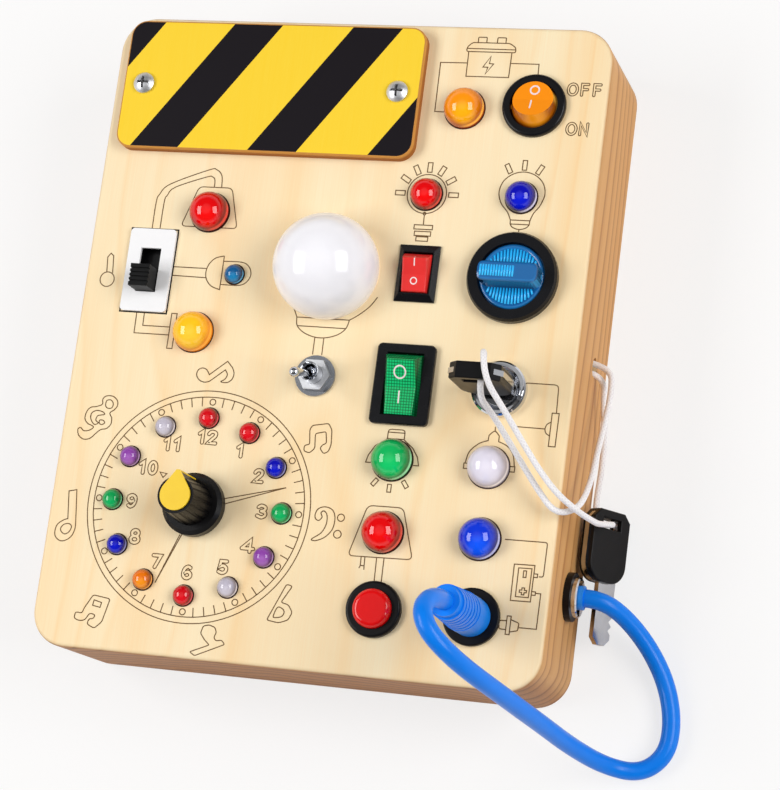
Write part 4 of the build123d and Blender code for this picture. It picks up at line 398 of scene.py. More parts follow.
@dataclass(frozen=True)
class CastEpoxy(Finish):
    """Tinted epoxy or polycarbonate from a polished mould, as a lamp's dome.

    Its light and shade are painted from the dome's own shape: painted shade deepens it towards
    its rim, a painted pool of light brightens it low down, a painted crescent of light lies at the
    foot of one side, and a painted glow is emitted.

    Attributes:
        crown: The colour over the top.
        rim: The colour at the foot, as painted shade; the prisms' grooves take it too.
        heart: The colour of the painted pool of light low down.
        glow: The colour of the painted crescent of light.
        rough: The roughness.
        coat: The polished skin's weight.
        grid_mm: The spacing of the small prisms moulded in it, or 0 where it is plain.
        passed: A painted glow, added as emission.
        heart_way: The way that the surface faces where the painted pool of light lies.
        glow_way: The way that the side with the painted crescent of light faces.
    """

    crown: str = "D8060C"
    rim: str = "7A0206"
    heart: str = "F01814"
    glow: str = "F4604A"
    rough: float = 0.1
    coat: float = 0.62
    grid_mm: float = 0.0
    passed: float = 0.2
    heart_way: Point3 = (0.22, -0.58, 0.78)
    glow_way: Point3 = (0.88, -0.48, 0.0)

    def tint(self, nodes: Nodes, part: str) -> Any:
        """Returns the colour of the crown, rim, heart or glow, by its name."""
        return linear(getattr(self, part))

    def prisms(self, nodes: Nodes) -> Socket:
        """Adds the grid of prisms and returns its height, from 0 to 1."""
        waves = {}
        for axis, place in enumerate(list(nodes.axes())[:2]):
            turn = nodes.add("Math", {0: place, 1: per_mm(self.grid_mm)}, operation="MULTIPLY")
            waves[axis] = nodes.add("Math", {0: turn, 1: 0.5}, operation="PINGPONG")
        lower = nodes.add("Math", waves, operation="MINIMUM")
        limits = {"Value": lower, "From Min": 0.0, "From Max": 0.2}
        return nodes.add("MapRange", limits, interpolation_type="SMOOTHSTEP")

    def paint(self, nodes: Nodes) -> Inputs:
        """Builds the crown, the rim's painted shade, the painted pool of light and the painted
        crescent from the dome's own shape.
        """
        turn, up = nodes.coords["Normal"], nodes.axes("Normal")[2]
        cloud = nodes.noise((3.0, 3.0, 3.0), 2.0)
        height = nodes.add("Math", {0: cloud, 1: 0.12, 2: up}, operation="MULTIPLY_ADD")
        low, near = (
            nodes.add("VectorMath", {0: turn, 1: way}, operation="DOT_PRODUCT")
            for way in (self.heart_way, self.glow_way)
        )
        over, heart, under, above, side = (
            nodes.add(
                "MapRange",
                {"Value": value, "From Min": start, "From Max": end, "To Max": most},
                interpolation_type="SMOOTHSTEP",
            )
            for value, start, end, most in (
                (height, 0.15, 0.95, 1.0),
                (low, 0.72, 0.99, 0.8),
                (up, 0.3, 0.16, 1.0),
                (up, 0.02, 0.07, 1.0),
                (near, 0.3, 0.85, 1.0),
            )
        )
        foot = nodes.add("Math", {0: under, 1: above}, operation="MULTIPLY")
        crescent = nodes.add("Math", {0: foot, 1: side}, operation="MULTIPLY")
        # Painted light and shade: the rim's painted shade, with the crown, a painted pool of light
        # and a painted crescent of light mixed over it by the way the surface faces.
        shown = self.tint(nodes, "rim")
        for share, part in ((over, "crown"), (heart, "heart"), (crescent, "glow")):
            colours = {"Factor": share, "A": shown, "B": self.tint(nodes, part)}
            shown = nodes.add("Mix", colours, data_type="RGBA")
        made: Inputs = {}
        if self.grid_mm:
            prisms = self.prisms(nodes)
            # The prisms' grooves take the rim's colour as painted shade.
            colours = {"Factor": prisms, "A": linear(self.rim), "B": shown}
            shown = nodes.add("Mix", colours, data_type="RGBA")
            made["Normal"] = nodes.bump(prisms, 0.12, 0.5)
        return made | {
            "Base Color": shown,
            # A painted glow: the dome emits its own painted colour.
            "Emission Color": shown,
            "Emission Strength": self.passed,
            "IOR": 1.5,
            "Specular IOR Level": 0.05,
            "Roughness": self.rough,
            "Coat Weight": self.coat,
            "Coat IOR": 1.7,
            "Coat Roughness": 0.02,
        }


@dataclass(frozen=True)
class CastEpoxyBatches(CastEpoxy):
    """Domes of one colour from three batches of epoxy, each a shade of its own.

    Attributes:
        upper: The batch used above the board's middle.
        left: The batch used on the board's left half.
    """

    upper: CastEpoxy = CastEpoxy("epoxy")
    left: CastEpoxy = CastEpoxy("epoxy")

    def tint(self, nodes: Nodes, part: str) -> Any:
        """Returns the colour that the batch at each place has for a part of the dome."""
        place = nodes.axes()
        shown: Any = linear(getattr(self, part))
        for axis, test, batch in ((1, "GREATER_THAN", self.upper), (0, "LESS_THAN", self.left)):
            there = nodes.add("Math", {0: place[axis], 1: 0.0}, operation=test)
            colours = {"Factor": there, "A": shown, "B": linear(getattr(batch, part))}
            shown = nodes.add("Mix", colours, data_type="RGBA")
        return shown


@dataclass(frozen=True)
class PlatedMetal(Finish):
    """Brass or steel, turned or stamped, then plated with nickel or chromium.

    Attributes:
        colour: The metal's own colour.
        rough: The roughness.
        brush_mm: The spacing of the tool marks.
        brush_depth_mm: Their depth.
        axis: The middle of the lathe's rings, in millimetres, on a part that was turned.
        ring_mm: The spacing of the rings, drawn about five times as coarse as they are.
        ring_depth_mm: Their depth.
        dull: The colour of its dulled patches.
    """

    colour: str = "E4E6EA"
    rough: float = 0.1
    brush_mm: float = 0.3
    brush_depth_mm: float = 0.004
    axis: Optional[Point2] = None
    ring_mm: float = 0.9
    ring_depth_mm: float = 0.09
    dull: str = "B4B6BC"

    def rings(self, nodes: Nodes, marks: Socket) -> Socket:
        """Adds the rings that the lathe left round the axis.

        Args:
            nodes: The material's nodes.
            marks: The fine tool marks, which roughen the rings.

        Returns:
            The rings' height, from 0 to 1.
        """
        middle = (self.axis[0] * MM, self.axis[1] * MM, 0.0)
        reach = nodes.coords["Object"]
        for change, by in (("SUBTRACT", middle), ("MULTIPLY", (1.0, 1.0, 0.0))):
            reach = nodes.add("VectorMath", {0: reach, 1: by}, operation=change)
        radius = nodes.add("VectorMath", {0: reach}, operation="LENGTH")
        pace = per_mm(self.ring_mm) * 2 * math.pi
        turns = nodes.add("Math", {0: radius, 1: pace}, operation="MULTIPLY")
        wave = nodes.add("Math", {0: turns}, operation="SINE")
        half = nodes.add("Math", {0: wave, 1: 0.45, 2: 0.5}, operation="MULTIPLY_ADD")
        return nodes.add("Math", {0: marks, 1: 0.06, 2: half}, operation="MULTIPLY_ADD")

    def paint(self, nodes: Nodes) -> Inputs:
        """Builds the tool marks, the dulled patches and the metal."""
        marks = nodes.noise((self.brush_mm,) * 3, 3.0, 0.6)
        patches = nodes.noise((5.0, 5.0, 5.0), 2.0)
        if self.axis is None:
            relief = nodes.bump(marks, self.brush_depth_mm, 0.4)
        else:
            relief = nodes.bump(self.rings(nodes, marks), self.ring_depth_mm, 0.7)
        spread = {"Value": marks, "To Min": self.rough * 0.6, "To Max": self.rough * 1.5}
        colours = {"Factor": patches, "A": linear(self.colour), "B": linear(self.dull)}
        return {
            "Base Color": nodes.add("Mix", colours, data_type="RGBA"),
            "Roughness": nodes.add("MapRange", spread),
            "Metallic": 1.0,
            "Normal": relief,
        }


@dataclass(frozen=True)
class BraidedPolyester(Finish):
    """White polyester yarn braided round a core, sixteen strands.

    Diagonal strands cross in a fine basket with soft shaded gaps. The real strands are
    0.35 mm wide and are drawn about twice as coarse so that they show.

    Attributes:
        yarn: The strands' colour.
        gap: The painted shade between them.
        around: The strands that go one way round.
        along_mm: The length of one crossing along the cord.
        length_mm: The cord's length.
    """

    yarn: str = "FAF8F9"
    gap: str = "EAE5E9"
    around: int = 5
    along_mm: float = 1.6
    length_mm: float = 331.0

    def paint(self, nodes: Nodes) -> Inputs:
        """Builds two slanted sets of strands from the cord's own length and girth."""
        lengthwise, round_it, _ = nodes.axes("UV")
        steps = self.length_mm / self.along_mm
        along = nodes.add("Math", {0: lengthwise, 1: steps}, operation="MULTIPLY")
        waves = {}
        for side, way in enumerate((1.0, -1.0)):
            slope = {0: round_it, 1: way * self.around, 2: along}
            slant = nodes.add("Math", slope, operation="MULTIPLY_ADD")
            turn = nodes.add("Math", {0: slant, 1: 2.0 * math.pi}, operation="MULTIPLY")
            waves[side] = nodes.add("Math", {0: turn}, operation="SINE")
        upper = nodes.add("Math", waves, operation="MAXIMUM")
        height = nodes.add("MapRange", {"Value": upper, "From Min": -0.6, "From Max": 0.9})
        fuzz = nodes.noise((0.3, 0.3, 0.3), 2.0)
        shade = nodes.add(
            "Math", {0: fuzz, 1: 0.25, 2: height}, operation="MULTIPLY_ADD", use_clamp=True
        )
        # Where the strands sink, the colour turns to the gap's painted shade.
        colours = {"Factor": shade, "A": linear(self.gap), "B": linear(self.yarn)}
        return {
            "Base Color": nodes.add("Mix", colours, data_type="RGBA"),
            "Roughness": 0.7,
            "Sheen Weight": 0.25,
            "Normal": nodes.bump(height, 0.04, 0.4),
        }


@dataclass(frozen=True)
class EtchedCircuit(Finish):
    """Glass-filled board under green solder mask, with copper tracks that show through.

    Attributes:
        mask: The mask over bare board, in its two shades.
        track: The mask over copper.
        pitch_mm: The width and height of the fields between the tracks.
    """

    mask: tuple[str, str] = ("0F5B32", "126438")
    track: str = "1E8A4C"
    pitch_mm: Point2 = (8.0, 4.0)

    def paint(self, nodes: Nodes) -> Inputs:
        """Builds straight tracks under the mask."""
        scale = (*map(per_mm, self.pitch_mm), 1.0)
        place = nodes.add("Mapping", {"Vector": nodes.coords["Object"], "Scale": scale})
        colours = dict(zip(("Color1", "Color2", "Mortar"), map(linear, (*self.mask, self.track))))
        tracks = nodes.add(
            "TexBrick", {"Vector": place, "Scale": 1.0, "Mortar Size": 0.07} | colours
        )
        relief = nodes.bump(tracks.node.outputs["Fac"], 0.05, 0.4)
        return {"Base Color": tracks, "Roughness": 0.3, "Normal": relief}


@dataclass(frozen=True)
class BurntLine(Finish):
    """Birch scorched by a laser: a thin matt brown line, uneven in depth.

    Attributes:
        deep: The colour where the beam dwelt.
        light: The colour where it moved on.
    """

    deep: str = "4E3416"
    light: str = "7E5C30"

    def paint(self, nodes: Nodes) -> Inputs:
        """Builds the uneven scorch."""
        dwell = nodes.noise((1.4, 1.4, 1.4), 2.0)
        colours = {"Factor": dwell, "A": linear(self.deep), "B": linear(self.light)}
        return {"Base Color": nodes.add("Mix", colours, data_type="RGBA"), "Roughness": 0.85}


# ---------------------------------------------------------------------------------------
# Drawn lines
# ---------------------------------------------------------------------------------------
def turn_steps(count: int) -> list[float]:
    """Returns count even angles round a full turn, in radians."""
    return [2 * math.pi * i / count for i in range(count)]


def spoke(centre: Point2, radius: float, angle: float) -> Point2:
    """Returns the place at a distance from a centre and an angle in radians from +X."""
    return centre[0] + radius * math.cos(angle), centre[1] + radius * math.sin(angle)


def circle(
    centre: Point2, radius: float, steps: int = 48, tall: Optional[float] = None
) -> list[Point2]:
    """Returns points round a circle, or round an oval where its half height is given too."""
    rise = radius if tall is None else tall
    return [
        (centre[0] + radius * math.cos(t), centre[1] + rise * math.sin(t))
        for t in turn_steps(steps)
    ]


def bar(centre: Point2, width: float, height: float, turn_deg: float = 0.0) -> list[Point2]:
    """Returns the corners of a small turned rectangle, in millimetres."""
    c, s = math.cos(math.radians(turn_deg)), math.sin(math.radians(turn_deg))
    corners = [(-width, -height), (width, -height), (width, height), (-width, height)]
    return [
        (centre[0] + (x * c - y * s) / 2, centre[1] + (x * s + y * c) / 2) for x, y in corners
    ]


def smooth(points: Sequence[Point2], closed: bool = False, steps: int = 6) -> list[Point2]:
    """Passes a rounded curve through points.

    Args:
        points: The points to pass through.
        closed: Whether the last point joins the first.
        steps: How many short runs replace each gap.

    Returns:
        The points of the rounded curve.
    """
    count = len(points)
    made: list[Point2] = []
    for i in range(count if closed else count - 1):
        near = range(i - 1, i + 3)
        run = [points[k % count if closed else min(max(k, 0), count - 1)] for k in near]
        for t in (j / steps for j in range(steps)):
            place = []
            for a, b, c, d in zip(*run):
                bend = 2 * a - 5 * b + 4 * c - d + (3 * b - a - 3 * c + d) * t
                place.append(b + (c - a + bend * t) * t / 2)
            made.append(tuple(place))
    if not closed:
        made.append(points[-1])
    return made


def rounded(points: Sequence[Point2], radius: float, closed: bool = True) -> list[Point2]:
    """Rounds the corners of a drawn shape.

    Args:
        points: Its corners.
        radius: How far from each corner the rounding starts.
        closed: Whether the last corner joins the first.

    Returns:
        The points of the rounded shape.
    """
    made: list[Point2] = []
    count = len(points)
    for i, corner in enumerate(points):
        if not closed and i in (0, count - 1):
            made.append(corner)
            continue
        here = Vector(corner)
        before, after = Vector(points[i - 1]) - here, Vector(points[(i + 1) % count]) - here
        start = here + before.normalized() * min(radius, before.length / 2)
        end = here + after.normalized() * min(radius, after.length / 2)
        for t in (0.0, 0.25, 0.5, 0.75, 1.0):
            p = start * (1 - t) ** 2 + here * 2 * t * (1 - t) + end * t * t
            made.append((p.x, p.y))
    return made


def add_piece(name: str, data: bpy.types.ID) -> bpy.types.Object:
    """Puts a mesh, curve, light or camera into the scene as a piece and returns it."""
    piece = bpy.data.objects.new(name, data)
    bpy.context.scene.collection.objects.link(piece)
    return piece


LAYER_MM = 0.006
"""How far a strip lies above the one drawn before it, so that crossing ones never touch."""
LAYERS = 3
LINE_LIFT_MM = 0.04
# How far the dark rings round the lamps' holes, scorch and painted shade, and the painted shade
# round the slider's pocket lie above the face.
"""How far the dark edges of the lamps' holes and the slider's pocket lie above the face."""
NEAR_MM = 1e-4
"""Points closer than this are one."""


@dataclass
class Strips:
    """Flat strips laid along drawn lines and collected in one mesh.

    Attributes:
        name: The piece's name.
        height: Gives the height at a place on the board, all in millimetres.
        corners: The mesh's points, in metres.
        quads: The mesh's faces.
        layer: Which of the layers the next strip lies on.
    """

    name: str
    height: Callable[[float, float], float]
    corners: list[Point3] = field(default_factory=list)
    quads: list[tuple[int, ...]] = field(default_factory=list)
    layer: int = 0

    def put(self, x: float, y: float) -> int:
        """Adds one point, given in millimetres, and returns its number."""
        height = self.height(x, y) + self.layer * LAYER_MM
        self.corners.append((x * MM, y * MM, height * MM))
        return len(self.corners) - 1

    def line(
        self, points: Sequence[Point2], width: float, closed: bool = False, capped: bool = False
    ) -> None:
        """Lays a strip along a line.

        Args:
            points: The line's points, in millimetres.
            width: The strip's width, in millimetres.
            closed: Whether the last point joins the first.
            capped: Whether open ends are rounded.
        """
        path = [Vector(p) for p in points]
        path = [p for i, p in enumerate(path) if i == 0 or (p - path[i - 1]).length > NEAR_MM]
        if closed and (path[0] - path[-1]).length < NEAR_MM:
            path.pop()
        count = len(path)
        pairs = []
        for i, here in enumerate(path):
            first, last = not closed and i == 0, not closed and i == count - 1
            behind = path[1] - here if first else here - path[i - 1]
            ahead = behind if last else path[(i + 1) % count] - here
            square, turned = (Vector((-way.y, way.x)).normalized() for way in (behind, ahead))
            mitre = square + turned
            mitre = square if mitre.length < NEAR_MM else mitre.normalized()
            reach = mitre * (width / 2 / max(mitre.dot(square), 0.5))
            pairs.append(tuple(self.put(*place) for place in (here + reach, here - reach)))
        for i in range(count if closed else count - 1):
            a, b = pairs[i], pairs[(i + 1) % count]
            self.quads.append((a[0], a[1], b[1], b[0]))
        if capped and not closed:
            self.cap(path[0], path[0] - path[1], width, pairs[0][::-1])
            self.cap(path[-1], path[-1] - path[-2], width, pairs[-1])
        self.layer = (self.layer + 1) % LAYERS

    def cap(self, end: Vector, out: Vector, width: float, pair: Sequence[int]) -> None:
        """Rounds one end of a strip.

        Args:
            end: The line's end point.
            out: The way out of the line.
            width: The strip's width.
            pair: The strip's last two points, left one first.
        """
        along = out.normalized() * (width / 2)
        left = Vector((-along.y, along.x))
        ring = [pair[0]]
        for i in range(1, 6):
            t = math.pi * i / 6
            p = end + left * math.cos(t) + along * math.sin(t)
            ring.append(self.put(p.x, p.y))
        ring.append(pair[1])
        self.quads.append(tuple(ring[::-1]))

    def make(self, finish: Finish, body: str) -> bpy.types.Object:
        """Makes the mesh.

        Args:
            finish: Its finish.
            body: The body that it rides on.

        Returns:
            The new piece.
        """
        mesh = bpy.data.meshes.new(self.name)
        mesh.from_pydata(self.corners, [], self.quads)
        shaped = bmesh.new()
        shaped.from_mesh(mesh)
        for face in shaped.faces:
            face.normal_update()
            if face.normal.z < 0:
                face.normal_flip()
        shaped.to_mesh(mesh)
        shaped.free()
        piece = add_piece(self.name, mesh)
        mesh.materials.append(finish.material())
        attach(piece, body)
        LOG.info("%s: %d faces on %s", self.name, len(mesh.polygons), body)
        return piece


def flat_at(height_mm: float) -> Callable[[float, float], float]:
    """Returns a height that is the same everywhere."""
    return lambda x, y: height_mm


def lying_on(node: str, lift_mm: float) -> Callable[[float, float], float]:
    """Returns the height of a node's top surface, a little proud of it.

    Args:
        node: The CAD node.
        lift_mm: How far above it the strip lies.

    Returns:
        A function of a place on the board, in millimetres.
    """
    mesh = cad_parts[node].data
    tree = BVHTree.FromPolygons(
        [v.co.copy() for v in mesh.vertices], [tuple(p.vertices) for p in mesh.polygons]
    )

    def height(x: float, y: float) -> float:
        """Returns the surface's height under a place, in millimetres."""
        hit = tree.ray_cast(Vector((x * MM, y * MM, 0.2)), Vector((0.0, 0.0, -1.0)))[0]
        return (FACE_MM if hit is None else hit.z / MM) + lift_mm

    return height


# ---------------------------------------------------------------------------------------
# Dressing
# ---------------------------------------------------------------------------------------
def dress(finish: Finish, *nodes: str) -> None:
    """Gives CAD nodes a finish.

    Args:
        finish: The finish.
        *nodes: The nodes that take it.
    """
    for name in nodes:
        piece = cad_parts[name]
        for slot in piece.material_slots:
            slot.material = finish.material()
        LOG.info("%s: %s", name, finish.name)


BIRCH = LacqueredBirch("birch_planed_lacquered")
BLACK_NYLON = MouldedPlastic("nylon_black_moulded", "09080A", "100F11", 0.32, specular=0.2)
BLACK_ABS_GLOSS = MouldedPlastic(
    "abs_black_polished_mould", "0B0B0F", "121216", 0.26, coat=0.04, specular=0.22
)
BLACK_RUBBERY = MouldedPlastic("pvc_black_soft_moulded", "060607", "0B0B0C", 0.45, specular=0.15)
WHITE_ABS = MouldedPlastic("abs_white_moulded", "FDFDFE", "F6F6F8", 0.35)
CHROME = PlatedMetal("brass_chromium_plated", "E6E8EC", 0.07)
NICKEL = PlatedMetal("steel_nickel_plated", "D6D8DC", 0.14)
STEEL = PlatedMetal("steel_zinc_plated", "C4C8CC", 0.28)
BRASS = PlatedMetal("brass_tinned_stamped", "D8C08A", 0.25)
SCORCH = BurntLine("birch_laser_burnt")
# Dark rings round the lamps: partly the scorch of the cut, partly painted shade in the gap round
# each dome.
HOLE_SCORCH_AND_SHADE = BurntLine("birch_cut_edge_scorch_and_painted_shade", deep="1E0E06", light="4A2A14")


@dataclass
class Box:
    """The birch box, its back and the screws that hold it."""

    def build(self) -> None:
        """Dresses the box and its back."""
        dress(BIRCH, "wood_body")
        dress(
            LacqueredBirch("birch_ply_sanded", face=("EBCB98", "D8AE74"), ring_mm=16.0),
            "back_cover",
        )
        dress(STEEL, "back_cover_screws")


@dataclass
class Drawings:
    """The figures that a laser burnt into the face.

    Attributes:
        line: The width of a line, in millimetres.
        lift: How far the lines lie above the face, in millimetres.
        bare_lift: How far the bare wood of a hollow stroke lies above its dark band.
        digits: A numeral's scale across and up, its stroke's width and its step to the next.
        letters: The same for a letter.
        rings: The radii of the clock's two rings.
        tick: The radius at which a minute's tick starts.
        dots: The radius at which the hours' dots sit, and a dot's own.
    """

    line: float = 0.38
    lift: float = 0.03
    bare_lift: float = 0.02
    digits: tuple[float, float, float, float] = (5.5, 4.2, 1.6, 3.9)
    letters: tuple[float, float, float, float] = (4.6, 4.1, 1.2, 4.5)
    rings: Point2 = (42.5, 40.2)
    tick: float = 36.8
    dots: Point2 = (38.4, 1.1)

    def build(self) -> None:
        """Draws every figure in two pieces: dark lines, and bare wood inside hollow ones."""
        self.dark = Strips("burnt_lines", flat_at(FACE_MM + self.lift))
        self.bare = Strips("numeral_wood", flat_at(FACE_MM + self.lift + self.bare_lift))
        self.clock_face()
        self.words()
        self.circuits()
        self.lamp_figures()
        self.music()
        self.dark.make(SCORCH, "panel")
        self.bare.make(BIRCH, "panel")

    def draw(self, points: Sequence[Point2], closed: bool = False) -> None:
        """Draws one burnt line."""
        self.dark.line(points, self.line, closed)

    def clock_face(self) -> None:
        """Draws two rings, sixty ticks with a dot at each hour, two hands and an arrow."""
        for radius in self.rings:
            self.draw(circle(CLOCK_CENTRE, radius, 120), True)
        for minute in range(60):
            start, dot, end = (
                spoke(CLOCK_CENTRE, radius, math.radians(90 - 6 * minute))
                for radius in (self.tick, self.dots[0], self.rings[1])
            )
            if minute % 5:
                self.draw([start, end])
            else:
                self.draw(circle(dot, self.dots[1], 20), True)
        for tip, ends in (
            ((-5.2, -55.6), ((-28.4, -61.5), (-27.6, -63.3))),
            ((-49.6, -93.8), ((-42.0, -75.4), (-42.8, -75.7))),
        ):
            for end in ends:
                self.draw([end, tip])
        self.draw([(-54.0, -53.6), (-51.2, -54.0), (-52.5, -55.5)], True)

    def write(self, word: str, middle: Point2, style: Sequence[float]) -> None:
        """Draws a word in hollow strokes: a dark band with bare wood along its middle.

        Args:
            word: The word.
            middle: Its middle.
            style: Its marks' scale across and up, their stroke's width and their step.
        """
        wide, tall, stroke, step = style
        for i, mark in enumerate(word):
            x = middle[0] + (i - (len(word) - 1) / 2) * step
            for points, closed in glyph(mark, (x, middle[1]), (wide, tall)):
                self.dark.line(points, stroke, closed, capped=True)
                self.bare.line(points, stroke - 2 * self.line, closed, capped=True)

    def words(self) -> None:
        """Draws the hours inside the ring of lamps, and OFF and ON by the round rocker."""
        places = (
            (-24.3, -43.5), (-16.2, -52.2), (-13.2, -64.9), (-16.5, -77.6), (-24.8, -86.0),
            (-38.0, -89.1), (-50.2, -86.1), (-59.9, -77.8), (-63.2, -65.0), (-58.9, -52.3),
            (-50.6, -43.0), (-37.8, -39.5),
        )
        for hour, place in enumerate(places, 1):
            self.write(str(hour), place, self.digits)
        self.write("OFF", (85.9, 97.0), self.letters)
        self.write("ON", (84.85, 82.2), self.letters)

    def circuits(self) -> None:
        """Draws the batteries, the plug, the lock's bolt and their wires."""
        draw = self.draw
        draw([(41.3, 105.8), (31.2, 105.7), (31.4, 86.9), (35.3, 86.8)])
        draw([(57.5, 106.1), (68.1, 106.1), (68.2, 101.9)])
        draw([(41.3, 110.2), (41.4, 100.7), (57.4, 100.7), (57.5, 110.2)])
        draw(rounded([
            (40.4, 110.2), (40.6, 112.0), (42.4, 113.7), (56.4, 113.7), (58.7, 112.2),
            (58.9, 110.2),
        ], 0.8), True)
        draw([(40.5, 111.4), (58.8, 111.3)])
        for x in (44.4, 51.6):
            draw(rounded([(x, 113.7), (x, 115.8), (x + 3.2, 115.8), (x + 3.2, 113.7)], 0.4, False))
        draw([
            (49.9, 108.6), (47.3, 104.4), (49.2, 104.4), (48.5, 101.7), (51.2, 105.7),
            (49.6, 105.8),
        ], True)
        draw(rounded([(76.8, -67.4), (92.0, -67.3), (91.9, -79.4), (90.3, -79.4)], 0.9, False))
        draw([(81.2, -75.7), (88.5, -75.6), (88.4, -88.3), (81.3, -88.4)], True)
        draw([(82.9, -76.9), (87.6, -76.8), (87.5, -86.9), (82.9, -86.9)], True)
        draw(bar((85.3, -78.9), 1.0, 2.3), True)
        draw([
            (84.9, -83.7), (85.8, -83.7), (85.8, -84.5), (86.6, -84.5), (86.6, -85.3),
            (85.8, -85.3), (85.8, -86.1), (84.9, -86.1), (84.9, -85.3), (84.1, -85.3),
            (84.1, -84.5), (84.9, -84.5),
        ], True)
        for y in (-79.1, -85.3):
            draw([(88.4, y + 0.6), (89.8, y + 0.6), (89.8, y - 0.6), (88.4, y - 0.6)])
        draw([(89.8, -85.2), (91.7, -85.2), (91.6, -97.5), (85.5, -97.5)])
        draw(bar((81.6, -97.0), 1.4, 6.4), True)
        draw(rounded([(82.3, -95.0), (85.3, -96.0), (85.1, -98.6), (82.3, -99.3)], 0.4, False))
        draw(rounded([(80.9, -95.5), (78.3, -95.6), (78.5, -98.5), (80.9, -98.6)], 0.5, False))
        draw(rounded([(77.9, -11.6), (89.4, -11.6), (89.7, -21.7)], 1.6, False))
        draw([(88.2, -21.7), (90.7, -21.7), (90.6, -33.6), (88.2, -33.6)], True)
        draw(smooth([(88.1, -25.0), (86.8, -25.9), (86.3, -27.5), (86.8, -29.0), (88.1, -29.8)]))
        draw([(75.3, -27.4), (86.2, -27.5)])

    def rays(self, centre: Point2, radius: float, turns: Iterable[float], size: Point2) -> None:
        """Draws small bars that point at a lamp.

        Args:
            centre: The lamp's centre.
            radius: The distance from it to a bar's middle.
            turns: Each bar's direction, in degrees from +X.
            size: A bar's width and length.
        """
        for turn in turns:
            middle = spoke(centre, radius, math.radians(turn))
            self.draw(bar(middle, *size, turn - 90), True)

    def lamp_figures(self) -> None:
        """Draws a lamp, a torch or a bulb round each coloured dome."""
        draw = self.draw
        draw(smooth([
            (-71.4, 37.2), (-71.4, 47.5), (-70.5, 50.8), (-66.8, 54.9), (-52.4, 61.0),
            (-49.3, 61.2), (-47.0, 59.0), (-46.4, 54.4),
        ]))
        draw(smooth([
            (-68.3, 37.2), (-68.2, 48.0), (-67.4, 50.5), (-64.6, 53.8), (-53.0, 58.2),
            (-50.6, 58.4), (-49.5, 57.2), (-49.3, 54.4),
        ]))
        draw(rounded([(-55.2, 54.4), (-42.2, 54.4), (-38.1, 39.0), (-60.2, 39.0)], 1.8), True)
        draw([(-86.8, 19.9), (-87.3, 25.6), (-86.2, 27.1), (-85.0, 26.2), (-84.4, 19.6)])
        draw(circle((-86.2, 17.1), 2.8, 24), True)
        draw([(-61.0, 23.3), (-47.6, 23.3)])
        draw([(-61.0, 20.0), (-47.4, 19.8)])
        draw(smooth([
            (-41.4, 28.4), (-44.7, 27.4), (-46.9, 25.0), (-47.7, 21.9), (-46.9, 18.9),
            (-44.7, 16.7), (-41.4, 15.6),
        ]) + [(-41.4, 28.4)])
        draw(smooth([
            (-41.3, 26.4), (-34.4, 26.4), (-31.4, 25.0), (-30.1, 22.0), (-31.4, 19.0),
            (-34.4, 17.6), (-41.3, 17.6),
        ]))
        draw([(-72.4, 5.3), (-72.3, -2.6), (-58.6, -2.6)])
        draw([(-69.4, 5.3), (-69.3, 0.4), (-58.6, 0.4)])
        draw([(-58.6, 5.6), (-56.5, 5.6), (-56.5, -7.6), (-58.6, -7.6)], True)
        draw(circle((32.5, 55.6), 7.35, 40), True)
        self.rays((32.5, 55.6), 10.0, (0, 32, 62, 90, 118, 148, 180), (1.7, 3.6))
        draw(circle((32.6, 48.2), 0.5, 10), True)
        draw([(32.6, 47.7), (32.7, 44.1)])
        for y, wide in ((43.1, 6.9), (40.7, 6.1), (38.7, 4.4)):
            draw(bar((32.8, y), wide, 1.6), True)
        draw(smooth([
            (64.6, 47.4), (63.2, 50.2), (60.4, 53.5), (59.2, 57.6), (60.4, 61.7), (63.5, 64.4),
            (67.6, 65.4), (71.7, 64.4), (74.9, 61.6), (76.1, 57.6), (74.9, 53.3), (72.8, 50.2),
            (71.8, 47.4),
        ]))
        draw([(64.6, 47.4), (71.8, 47.4), (71.7, 45.9), (64.7, 45.9)], True)
        draw(smooth([(64.7, 45.9), (65.7, 44.7), (68.2, 44.0), (70.7, 44.7), (71.7, 45.9)]))
        draw([(68.2, 44.0), (68.2, 42.0)])
        self.rays((67.5, 56.0), 11.9, (61, 90, 119), (1.6, 3.6))
        draw(smooth([
            (-10.2, 7.1), (-9.7, 4.1), (-7.3, 1.8), (-3.9, 0.4), (-0.4, -0.1), (3.3, 0.4),
            (6.7, 1.8), (9.0, 4.1), (9.8, 7.1),
        ]))
        draw([(-10.2, 7.1), (9.8, 7.1)])
        draw(smooth([(-10.2, 7.1), (-11.4, 9.6), (-13.0, 12.6), (-14.6, 15.6)]))
        draw(smooth([(9.8, 7.1), (13.0, 9.2), (16.8, 12.6), (19.2, 16.2)]))
        draw([(-9.5, 3.9), (8.9, 3.9)])
        draw([(-2.3, 0.0), (-2.3, -6.4)])
        draw([(1.1, 0.0), (1.2, -6.4)])
        draw(rounded([(29.8, -35.1), (29.8, -31.6), (36.0, -31.6), (36.0, -35.1)], 1.2, False))
        draw([(29.8, -35.0), (36.1, -35.0)])
        draw([(30.0, -32.7), (35.8, -32.7)])
        draw([(24.9, -44.1), (22.9, -44.1), (23.6, -41.4), (25.7, -37.9), (29.8, -35.1)])
        draw([(36.0, -35.1), (39.6, -37.9), (41.7, -41.0), (42.5, -44.0), (40.5, -44.0)])
        self.rays((32.8, -43.3), 9.5, (-54, -90, -126), (1.4, 2.8))
        draw(rounded([(25.9, -59.5), (39.0, -59.4), (44.6, -77.4), (20.9, -77.9)], 2.0), True)
        for x in (25.9, 27.3):
            draw([(x, -77.8), (x + 0.1, -80.9)])
        draw([(25.6, -82.0), (26.0, -81.0), (27.4, -81.0), (27.5, -82.4)])
        draw([(31.6, -77.6), (31.8, -86.4)])
        draw([(34.3, -77.6), (34.4, -86.4)])
